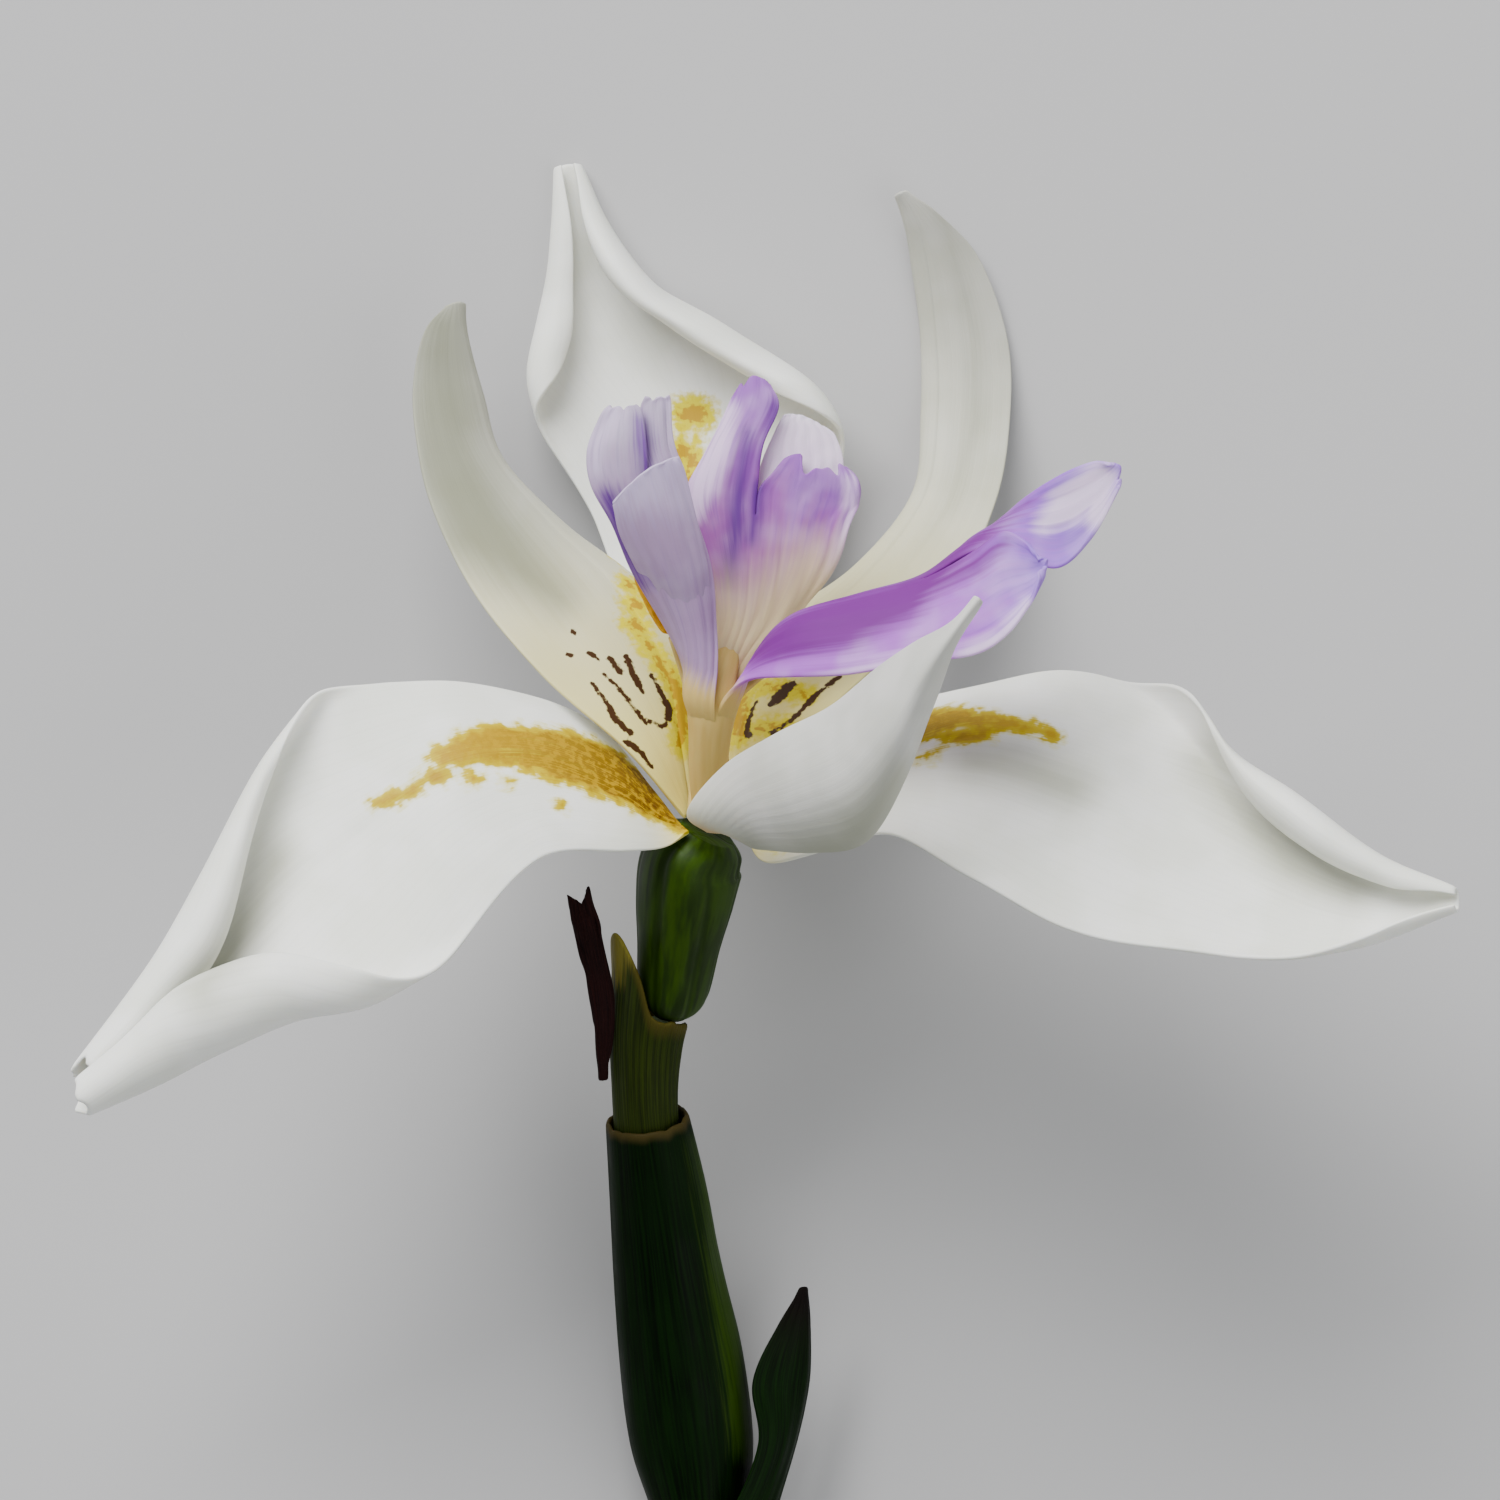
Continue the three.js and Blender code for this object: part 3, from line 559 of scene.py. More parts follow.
# %% Ribs of the outer tepals
OUTER_LEFT = [
  rib([-2.3, -0.5, 1.1], [-1.8, -0.8, 1.9], [-2.7, -0.2, 0.3]),
  rib([-4.0, 0.1, 1.9], [-3.5, -1.9, 3.0], [-4.6, 2.2, -0.8]),
  rib([-7.0, 1.9, 2.9], [-6.4, -2.2, 4.9], [-7.8, 6.2, -2.0]),
  rib([-12.5, 3.8, 4.4], [-11.9, -2.5, 7.8], [-12.8, 8.7, -0.9]),
  rib([-18.5, 3.0, 6.0], [-17.0, -6.8, 10.0], [-19.4, 9.7, 1.0], [1.0, 15], [0, 0]),
  rib([-24.6, -1.0, 6.4], [-23.2, -11.3, 12.0], [-25.8, 8.6, 2.4], [6.0, 150], [0.8, 35]),
  rib([-30.4, -5.8, 7.4], [-28.8, -12.9, 13.0], [-31.4, 2.6, 4.4], [9.4, 205], [6.0, 225]),
  rib([-34.9, -10.8, 9.3], [-33.8, -15.2, 13.6], [-36.0, -6.4, 8.2], [9.8, 215], [9.6, 250]),
  rib([-39.0, -15.0, 11.6], [-38.4, -17.6, 14.0], [-39.6, -12.3, 10.8], [8.6, 225], [7.4, 240]),
  rib([-44.6, -19.0, 14.6], [-44.2, -20.2, 15.4], [-44.7, -17.9, 14.6], [4.4, 215], [2.6, 190]),
]
OUTER_RIGHT = [
  rib([2.4, -0.4, 0.9], [2.8, 0.0, 0.0], [2.0, -0.8, 1.8]),
  rib([4.2, 0.1, 1.7], [4.4, 1.9, -0.7], [3.4, -2.9, 3.2]),
  rib([7.4, 1.2, 2.6], [7.4, 4.5, -1.2], [6.8, -2.4, 5.6]),
  rib([12.5, 4.2, 3.4], [12.6, 7.8, -2.0], [12.0, -0.9, 8.0]),
  rib([18.5, 5.8, 4.0], [19.0, 9.5, -2.5], [17.8, -2.8, 10.0], [0, 0], [1.4, 20]),
  rib([25.0, 4.4, 4.6], [25.2, 10.2, -1.5], [23.9, -5.6, 10.8], [0, 0], [2.2, 35]),
  rib([31.0, 1.6, 5.2], [30.6, 8.1, 0.0], [30.2, -7.2, 10.8], [1.6, 80], [2.8, 50]),
  rib([36.4, -1.4, 6.5], [35.7, 3.0, 4.0], [36.2, -8.0, 10.6], [8.0, 235], [3.2, 60]),
  rib([42.0, -4.4, 8.6], [41.4, -1.0, 6.9], [42.0, -8.0, 11.0], [10.4, 262], [3.6, 80]),
  rib([47.0, -5.8, 10.6], [46.6, -4.0, 9.6], [46.8, -7.4, 11.4], [6.2, 250], [3.2, 110]),
  rib([51.5, -5.5, 12.7], [51.5, -5.2, 12.6], [51.5, -5.8, 12.8], [1.2, 200], [1.2, 150]),
]
OUTER_BACK = [
  rib([-0.4, 1.0, -2.4], [-1.3, 0.9, -2.3], [0.6, 1.1, -2.5]),
  rib([-0.6, 8.0, -8.4], [-3.6, 7.6, -8.2], [2.4, 7.8, -8.4]),
  rib([-1.2, 15.0, -14.0], [-6.2, 14.6, -13.8], [4.8, 15.0, -14.2]),
  rib([-1.8, 21.8, -18.0], [-8.7, 21.4, -17.4], [8.0, 21.2, -17.2]),
  rib([-2.2, 28.0, -19.8], [-11.3, 27.6, -18.8], [8.0, 26.6, -18.2], [1.6, 60], [1.8, 70]),
  rib([-3.8, 32.2, -20.6], [-12.3, 31.4, -19.6], [5.4, 31.3, -18.8], [5.4, 215], [9.2, 225]),
  rib([-6.2, 36.2, -20.9], [-11.4, 35.5, -20.8], [-0.8, 35.6, -19.8], [5.4, 220], [11.0, 255]),
  rib([-8.4, 39.8, -21.1], [-10.8, 39.6, -21.1], [-5.8, 38.9, -20.8], [4.4, 210], [10.2, 255]),
  rib([-9.8, 43.3, -21.3], [-10.7, 43.2, -21.3], [-8.9, 43.0, -21.3], [3.2, 200], [4.8, 220]),
  rib([-10.6, 46.8, -21.4], [-11.0, 46.7, -21.4], [-10.2, 46.8, -21.4], [1.4, 180], [1.4, 180]),
]
print("ribs in each outer tepal:", len(OUTER_LEFT), len(OUTER_RIGHT), len(OUTER_BACK))

# %% The yellow guides of the outer tepals
GUIDE_LEFT = [
    [(-1.6, -1.2, 0.4), (-3.2, 0.1, 1.4), (-5.3, 2.0, 2.6), (-8.0, 3.5, 2.9), (-11.0, 4.4, 2.6),
     (-13.8, 5.2, 1.9), (-16.5, 5.3, 1.4), (-18.8, 4.4, 0.9)],
    [(-19.2, 3.2, 0.8)], [(-20.6, 2.5, 0.5), (-22.2, 1.5, 0.5), (-23.6, 0.9, 0.3)], [(-17.0, 3.0, 0.6)],
    [(-14.6, 2.6, 0.35)], [(-11.0, 1.0, 0.3)],
]
GUIDE_RIGHT = [
    [(3.0, -1.6, 0.2), (5.3, -1.9, 0.3), (9.0, 2.0, 1.0), (13.0, 5.6, 1.8), (16.5, 7.0, 1.5),
     (18.8, 6.8, 1.0), (21.2, 6.6, 0.7), (23.6, 5.9, 0.5)],
    [(17.0, 5.7, 0.9), (19.4, 5.8, 0.5)], [(14.8, 4.4, 0.6)],
]
GUIDE_BACK = [[(-0.6, 6.0, 0.6), (-1.2, 16.0, 1.3), (-1.8, 23.0, 0.6)]]
DOTS_BACK = [
    [(-2.1, 28.4, 0.65), (-1.2, 28.5, 0.6)], [(-2.4, 25.5, 0.5), (-1.5, 25.4, 0.5)], [(-1.9, 23.6, 0.45)],
    [(-1.0, 29.2, -0.3), (-1.2, 27.0, -0.25), (-1.5, 25.0, -0.3)],
    [(-2.4, 29.0, -0.3), (-2.2, 27.0, -0.25), (-2.3, 25.0, -0.3), (-2.0, 23.0, -0.3)],
]
print("strokes in each guide:", len(GUIDE_LEFT), len(GUIDE_RIGHT), len(GUIDE_BACK) + len(DOTS_BACK))

# %% Build the outer tepals
def limp(seed, groove=0.25, wave=0.35):
    """A small relief for a tepal: midrib groove, vein corrugation and a wavy margin."""
    def relief(across, up, co):
        s = abs(2 * across - 1)
        fold = -groove * math.exp(-(s / 0.07) ** 2) * (1 - up)
        veins = 0.007 * math.sin(across * 70 + 4 * noise.noise((across * 3, up * 3, seed)))
        margin = wave * s ** 3 * noise.noise((up * 7, side_of(across) * 5.0, seed))
        return fold + veins * (1 - s ** 4) + margin * min(1, up * 4)
    return relief


def side_of(across):
    return 1 if across > 0.5 else -1


def torn(s):
    """The open end of the left tepal's tube, with small tears."""
    return 1 - 0.012 * abs(math.sin(5.3 * s + 1.1)) - 0.005 * abs(math.sin(13 * s))


# Painted shade: soft strokes darken the valleys of the left and right outer tepals, under their folded margins
# and, on the right, below the guide.
PAINTED_VALLEY_SHADE = {
    "right": {"deep": [[(18.0, 4.0, 0.1), (21.5, 3.4, 0.4), (25.0, 2.2, 0.1)],
                       [(34.0, 4.0, 0.1), (37.0, 0.0, 0.3), (40.5, -3.4, 0.5), (44.5, -5.2, 0.1)]]},
    "left": {"deep": [[(-30.6, -3.0, 0.1), (-33.0, -8.0, 0.2), (-36.0, -12.0, 0.1)]]},
}
TEPAL_GRID = (64, 88)
OUTER_TEPAL_THICKNESS = 0.34
OUTER = {"left": (OUTER_LEFT, GUIDE_LEFT, []), "right": (OUTER_RIGHT, GUIDE_RIGHT, []),
         "back": (OUTER_BACK, GUIDE_BACK, DOTS_BACK)}
for seed, (name, (ribs, guide, dots)) in enumerate(OUTER.items()):
    surface = blade_surface(ribs, torn) if name == "left" else blade_surface(ribs)
    bm = lay_grid(*TEPAL_GRID, surface, relief=limp(seed))
    own_marks = {"guide": on_blade(bm, guide), "band": on_blade(bm, dots)}
    paint(bm, above=PAINTED_VALLEY_SHADE.get(name), own_marks=own_marks)
    finish_sheet(bm, f"broad_tepal_{name}", [outer_face, outer_back], OUTER_TEPAL_THICKNESS,
                 f"outer_tepal_{name}")

# %% [markdown]
# ## Inner tepals
# The inner tepals are narrower, have no guide hairs and stay smooth. Theirs is a yellow band up the middle
# with orange dots, and brown streaks to both sides of it. The marks of the left and right tepals are drawn as
# seen from above and turned into each blade's own across and up, so that they bend with it. The front tepal,
# whose face is turned away, takes the left one's pattern, mirrored on both halves.

# %% Ribs of the inner tepals
INNER_LEFT = [
  rib([-1.7, 0.4, -0.8], [-2.1, 0.1, -0.1], [-1.3, 0.7, -1.6]),
  rib([-2.5, 5.8, -2.0], [-6.2, 4.9, 1.2], [-1.2, 6.8, -4.5]),
  rib([-3.8, 11.3, -4.5], [-12.2, 10.2, -0.6], [-2.0, 12.3, -8.0]),
  rib([-7.1, 16.3, -7.5], [-17.0, 16.0, -4.0], [-6.2, 17.1, -11.0]),
  rib([-12.0, 21.1, -9.5], [-20.0, 22.0, -7.0], [-11.4, 20.8, -12.6]),
  rib([-15.8, 25.8, -11.0], [-21.2, 27.0, -9.5], [-15.8, 25.3, -13.6]),
  rib([-17.2, 30.3, -12.0], [-21.4, 31.0, -11.3], [-16.9, 29.9, -14.0]),
  rib([-18.0, 34.0, -12.4], [-20.6, 34.6, -12.0], [-17.8, 33.8, -13.6]),
  rib([-18.3, 36.7, -12.5], [-19.0, 36.4, -12.4], [-17.8, 36.6, -13.0]),
]
INNER_RIGHT = [
  rib([1.4, 0.5, -1.2], [0.9, 0.8, -1.8], [2.0, 0.3, -0.6]),
  rib([2.0, 6.4, -4.0], [0.4, 7.2, -6.2], [6.0, 5.6, -1.8]),
  rib([4.8, 12.0, -8.0], [2.6, 12.8, -10.8], [11.0, 10.5, -5.5]),
  rib([10.8, 17.3, -12.5], [9.9, 17.6, -14.6], [16.6, 15.8, -11.0]),
  rib([14.9, 22.9, -16.6], [14.4, 23.0, -18.4], [19.9, 22.4, -16.5]),
  rib([15.9, 28.6, -19.5], [14.9, 28.6, -20.9], [21.0, 28.4, -19.7]),
  rib([15.8, 34.3, -20.5], [15.0, 34.1, -21.5], [20.9, 34.1, -21.1]),
  rib([15.1, 39.9, -20.0], [14.1, 39.5, -20.8], [18.9, 39.9, -20.6]),
  rib([14.1, 43.0, -19.2], [13.5, 42.8, -19.6], [16.0, 43.1, -19.5]),
  rib([13.1, 44.7, -18.6], [12.8, 44.5, -18.8], [13.5, 44.8, -18.8]),
]
INNER_FRONT = [
  rib([0.3, -0.8, 1.8], [1.2, -0.7, 1.6], [-0.5, -0.8, 1.9]),
  rib([0.7, -0.6, 4.4], [2.6, -1.8, 3.4], [-1.9, 0.7, 3.6]),
  rib([2.5, 0.7, 9.0], [4.0, -2.0, 7.6], [0.8, 3.9, 6.6]),
  rib([5.6, 1.6, 14.7], [7.0, -2.2, 12.2], [4.1, 5.9, 11.2]),
  rib([9.3, 3.2, 20.0], [10.5, -1.3, 16.5], [7.9, 7.9, 15.0]),
  rib([12.1, 6.4, 23.6], [13.1, 3.0, 20.0], [11.2, 10.4, 18.5]),
  rib([14.1, 9.9, 25.2], [14.9, 8.0, 22.5], [14.0, 12.4, 22.0]),
  rib([16.2, 12.8, 25.6], [16.4, 12.0, 24.0], [16.3, 13.6, 24.0]),
  rib([18.1, 15.3, 25.4], [18.3, 15.1, 25.0], [17.9, 15.4, 25.0]),
]
print("ribs in each inner tepal:", len(INNER_LEFT), len(INNER_RIGHT), len(INNER_FRONT))

# %% Bands and streaks
BAND_LEFT = [
    [(-6.0, 16.6, 0.4)], [(-5.7, 15.0, 0.5)], [(-5.5, 13.7, 0.55)], [(-4.8, 12.2, 0.4)], [(-6.9, 18.2, 0.25)],
    [(-4.1, 11.2, 0.3), (-2.9, 9.6, 0.45), (-2.4, 8.0, 0.55), (-2.3, 6.4, 0.5), (-2.7, 5.4, 0.25)],
]
STREAKS_LEFT = [
    [(-9.8, 13.1, 0.28)], [(-10.2, 11.2, 0.26)], [(-8.8, 11.6, 0.16), (-8.3, 10.9, 0.16)],
    [(-7.4, 11.1, 0.2), (-6.8, 10.2, 0.26)], [(-6.3, 11.2, 0.22), (-5.7, 10.0, 0.28), (-5.2, 8.9, 0.2)],
    [(-4.6, 9.9, 0.14), (-3.7, 8.6, 0.22), (-3.2, 7.5, 0.3), (-3.2, 6.9, 0.22), (-3.9, 6.6, 0.2),
     (-4.6, 6.7, 0.12)],
    [(-7.8, 10.0, 0.12), (-6.4, 8.6, 0.16), (-5.0, 7.0, 0.2)],
    [(-8.6, 9.3, 0.14), (-7.6, 7.9, 0.18), (-7.0, 6.8, 0.24), (-6.0, 6.1, 0.26)],
    [(-6.4, 5.3, 0.2), (-5.6, 5.0, 0.24), (-4.5, 3.8, 0.14)],
]
BAND_RIGHT = [
    [(1.9, 9.0, 0.3), (1.8, 7.4, 0.5), (1.9, 5.9, 0.45)], [(3.4, 9.0, 0.2), (6.5, 8.6, 0.2)],
    [(3.0, 6.2, 0.2), (4.8, 6.4, 0.2)],
]
STREAKS_RIGHT = [
    [(3.0, 8.3, 0.14), (2.3, 6.6, 0.24), (2.5, 5.9, 0.2), (4.3, 6.1, 0.14), (5.5, 7.0, 0.22), (7.0, 8.3, 0.2),
     (8.7, 10.0, 0.14)],
    [(3.9, 8.1, 0.2), (4.4, 8.5, 0.5), (5.4, 9.2, 0.34)],
]
print("strokes on the left and right:", len(BAND_LEFT + STREAKS_LEFT), len(BAND_RIGHT + STREAKS_RIGHT))

# %% Build the inner tepals
def mirrored(strokes):
    return strokes + [[(1 - p[0], p[1], p[2]) for p in stroke] for stroke in strokes]


# Painted shade: these deep strokes darken the upper half of the left inner tepal, the right inner tepal along
# its length (a negative half width gives a weaker shade) and the lower edge of the front tepal's back.
SHADES = {
    "front": {"deep": [[(3.0, -2.6, 0.1), (6.0, -2.6, 0.6), (9.0, -1.8, 0.9), (11.4, 0.8, 0.7),
                        (12.8, 3.0, 0.1)]]},
    "left": {"deep": [[(-19.2, 34.5, 0.4), (-19.5, 30.0, 1.4), (-18.8, 25.0, 1.7), (-16.6, 20.6, 1.8),
                       (-14.0, 18.0, 1.0), (-11.0, 15.4, 0.1)]]},
    "right": {"deep": [[(16.0, 42.0, -1.6), (18.2, 34.0, -1.2), (18.2, 28.0, -1.1), (16.6, 22.0, -1.4),
                        (13.0, 17.5, -2.4)]]},
}
INNER_TEPAL_THICKNESS = 0.32
INNER = {"left": (INNER_LEFT, BAND_LEFT, STREAKS_LEFT), "right": (INNER_RIGHT, BAND_RIGHT, STREAKS_RIGHT),
         "front": (INNER_FRONT, None, None)}
inner_marks = {}
for seed, (name, (ribs, band, streaks)) in enumerate(INNER.items(), start=5):
    relief = limp(seed, groove=0.15 if band else 0, wave=0.15)
    bm = lay_grid(*TEPAL_GRID, blade_surface(ribs), relief=relief)
    if band:
        inner_marks[name] = {"band": on_blade(bm, band), "streak": on_blade(bm, streaks)}
    else:
        inner_marks[name] = {kind: mirrored(strokes) for kind, strokes in inner_marks["left"].items()}
    paint(bm, above=SHADES.get(name), own_marks=inner_marks[name])
    finish_sheet(bm, f"narrow_tepal_{name}", [inner_face, inner_back], INNER_TEPAL_THICKNESS,
                 f"inner_tepal_{name}")

# %% [markdown]
# ## Style arms
# Above its column the style opens into three petal-like arms. Each arm is a blade that splits near its end
# into two ragged crests, and the left and back arms carry a small lip, the stigma, below the split. The split
# is a real slit: the grid's middle edges are cut there, and the two halves move apart. Colour runs from the
# beige column through lilac to violet, with a deep flame along the fold and paler rims, so one recipe makes
# the five materials of the arms and lips.

# %% Ribs of the style arms
ARM_LEFT = [
  rib([-0.5, 5.2, 3.1], [-1.2, 5.4, 2.5], [0.2, 5.2, 3.2]),
  rib([-1.9, 8.3, 4.7], [-1.7, 9.0, 2.7], [0.0, 7.9, 5.5]),
  rib([-1.4, 10.8, 5.6], [-2.4, 11.2, 4.2], [0.2, 10.6, 5.5]),
  rib([-1.7, 13.5, 6.3], [-3.7, 14.0, 5.2], [0.1, 13.4, 5.4]),
  rib([-2.9, 17.3, 7.6], [-5.8, 17.4, 6.4], [-0.3, 17.3, 6.2]),
  rib([-3.9, 20.6, 8.4], [-7.1, 20.7, 7.3], [-1.1, 20.6, 6.8]),
  rib([-4.5, 23.4, 8.6], [-8.6, 23.2, 7.8], [-2.1, 23.8, 7.2]),
  split_rib([-8.9, 25.6, 7.8], [-4.7, 25.9, 8.6], [-5.0, 25.7, 7.5], [-2.9, 26.0, 7.2]),
  split_rib([-8.1, 27.8, 7.4], [-5.0, 28.3, 8.0], [-5.2, 28.5, 6.9], [-3.0, 28.9, 6.8]),
  split_rib([-7.2, 28.8, 7.2], [-5.4, 28.9, 7.8], [-4.8, 29.5, 6.9], [-3.2, 29.6, 6.8]),
]
ARM_BACK = [
  rib([0.2, 5.6, 1.8], [-0.8, 5.6, 2.0], [1.0, 5.6, 2.0]),
  rib([0.4, 9.3, 1.9], [-1.3, 9.1, 2.3], [1.9, 9.0, 2.5]),
  rib([1.4, 11.6, 2.7], [-0.6, 11.4, 2.5], [3.4, 11.8, 2.3]),
  rib([2.2, 14.2, 2.6], [0.1, 13.8, 2.2], [6.0, 14.4, 1.2]),
  rib([2.6, 17.6, 2.3], [-0.4, 17.3, 1.8], [8.4, 17.6, 0.8]),
  rib([2.8, 20.6, 1.7], [-1.5, 20.4, 1.0], [9.4, 20.6, 0.2]),
  rib([3.0, 23.0, 1.0], [-2.2, 22.6, 0.4], [10.2, 22.2, -0.4]),
  split_rib([-0.8, 25.6, -0.4], [3.4, 26.2, 0.2], [4.0, 24.3, 0.6], [10.1, 23.6, -0.8]),
  split_rib([0.8, 28.2, -1.2], [4.5, 28.9, -0.8], [4.9, 25.2, 0.0], [9.2, 24.7, -1.2]),
  split_rib([1.9, 30.4, -1.8], [3.9, 30.5, -1.8], [5.6, 25.0, -0.4], [8.2, 24.9, -1.4]),
]
ARM_RIGHT = [
  rib([0.5, 5.4, 3.0], [0.9, 5.5, 2.5], [-0.1, 5.3, 3.2]),
  rib([1.6, 8.5, 4.7], [1.8, 9.1, 3.0], [0.4, 8.0, 5.5]),
  rib([2.9, 11.6, 5.4], [3.2, 10.8, 3.6], [2.2, 9.6, 6.7]),
  rib([5.4, 14.2, 6.8], [5.6, 11.8, 3.4], [5.0, 9.9, 9.4]),
  rib([10.0, 15.5, 9.0], [10.2, 13.6, 5.0], [9.5, 10.1, 12.4]),
  rib([14.3, 16.6, 11.0], [15.0, 15.6, 7.0], [14.0, 10.9, 14.6]),
  rib([17.7, 18.5, 12.4], [18.5, 19.2, 9.4], [18.0, 11.5, 16.0]),
  split_rib([21.4, 22.2, 11.0], [20.4, 18.6, 12.6], [19.8, 20.0, 13.6], [20.3, 12.9, 16.4]),
  split_rib([23.8, 23.9, 12.4], [23.6, 17.4, 13.0], [21.4, 19.4, 14.4], [21.7, 14.8, 16.2]),
  split_rib([26.0, 24.8, 13.2], [26.0, 19.5, 13.4], [22.0, 18.6, 15.0], [22.1, 16.4, 15.9]),
  split_rib([27.1, 24.7, 13.9], [27.8, 23.0, 14.0], [22.3, 17.9, 15.3], [22.3, 17.1, 15.6]),
]
LIP_LEFT = [
  rib([-1.5, 11.5, 5.4], [-2.4, 12.0, 4.3], [0.0, 11.4, 5.2]),
  rib([-1.9, 14.2, 6.4], [-3.7, 14.6, 5.4], [-0.2, 14.2, 5.5]),
  rib([-2.9, 17.3, 8.0], [-5.4, 17.4, 6.8], [-0.5, 17.3, 6.7]),
  rib([-3.9, 20.6, 9.1], [-6.6, 20.0, 7.9], [-1.2, 20.7, 7.6]),
  rib([-4.7, 23.5, 9.7], [-7.0, 21.6, 8.6], [-2.2, 24.5, 8.2]),
  rib([-4.9, 24.2, 9.9], [-7.1, 22.0, 8.8], [-2.5, 25.3, 8.4]),
]
LIP_BACK = [
  rib([5.6, 20.5, 0.3], [3.0, 21.0, 0.6], [8.4, 20.6, -0.6]),
  rib([5.8, 24.5, -1.0], [3.0, 24.2, -0.8], [9.0, 24.4, -1.8]),
  rib([6.0, 27.4, -2.0], [4.2, 27.2, -1.8], [8.6, 26.6, -2.5]),
  rib([6.0, 28.4, -2.4], [4.8, 28.4, -2.2], [7.6, 27.6, -2.8]),
]
print("ribs in each arm:", len(ARM_LEFT), len(ARM_BACK), len(ARM_RIGHT))

# %% Style arm materials
def arm_material(name, base, middle, tip, flame_and_shade, pale, fade=1.4):
    material, tree, shader = new_material(name)
    uv = put(tree, "UVMap", uv_map="UVMap").outputs[0]
    up = put(tree, "SeparateXYZ", {0: uv}).outputs[1]
    fine = use_group(tree, veins_group, UV=uv, Count=20.0, Waver=0.6).outputs["Fine"]
    mottle = use_group(tree, mottle_group, Scale=260.0)
    drift = frayed(tree, up, fine, -0.06, 0.06)
    color = mix(tree, step(tree, drift, 0.5, 0.95), middle, tip)
    color = mix(tree, step(tree, mottle.outputs["Value"], 0.4, 0.7, 0.0, 0.25), color, pale)
    # Deep strokes are the arms' violet flames, except two that are painted shade: along the left arm's edge
    # under its lip and along the back arm's slit.
    deep = frayed(tree, mark(tree, "deep"), fine, -0.25, 0.3)
    color = mix(tree, step(tree, deep, 1.2, -0.6), color, flame_and_shade)
    light = frayed(tree, mark(tree, "pale"), fine, -0.15, 0.2)
    color = mix(tree, step(tree, light, 1.0, -0.5, 0.0, 0.95), color, pale)
    color = mix(tree, step(tree, fine, 0.5, 0.72, 0.0, 0.2), color, flame_and_shade)
    cream = frayed(tree, mark(tree, "band"), fine, -0.3, 0.3)
    color = mix(tree, step(tree, cream, fade, -0.7), color, base)
    finish_shader(tree, shader, color, fine, 0.22, 0.0001, {
        "Roughness": 0.55, "Specular IOR Level": 0.25, "Subsurface Weight": SCATTER,
        "Subsurface Radius": (1.0, 0.7, 0.9), "Subsurface Scale": 0.0008})
    return material


beige = tone(198, 170, 100)
arm_finish = {
    "left": arm_material("grey lilac arm", beige, tone(160, 130, 168), tone(170, 158, 180), tone(96, 48, 134),
                         tone(194, 178, 208)),
    "back": arm_material("mauve arm", tone(216, 198, 152), tone(144, 70, 150), tone(138, 74, 170),
                         tone(84, 26, 120), tone(214, 188, 224), fade=5.5),
    "right": arm_material("violet arm", beige, tone(166, 86, 198), tone(140, 94, 204), tone(106, 22, 124),
                          tone(224, 204, 234)),
}
lip_finish = {
    "left": arm_material("pale lip", beige, tone(160, 134, 168), tone(184, 168, 202), tone(132, 98, 166),
                         tone(214, 204, 230)),
    "back": arm_material("pink lip", beige, tone(216, 196, 222), tone(224, 210, 232), tone(190, 160, 210),
                         tone(236, 226, 240)),
}
print("arm materials:", [m.name for m in (*arm_finish.values(), *lip_finish.values())])

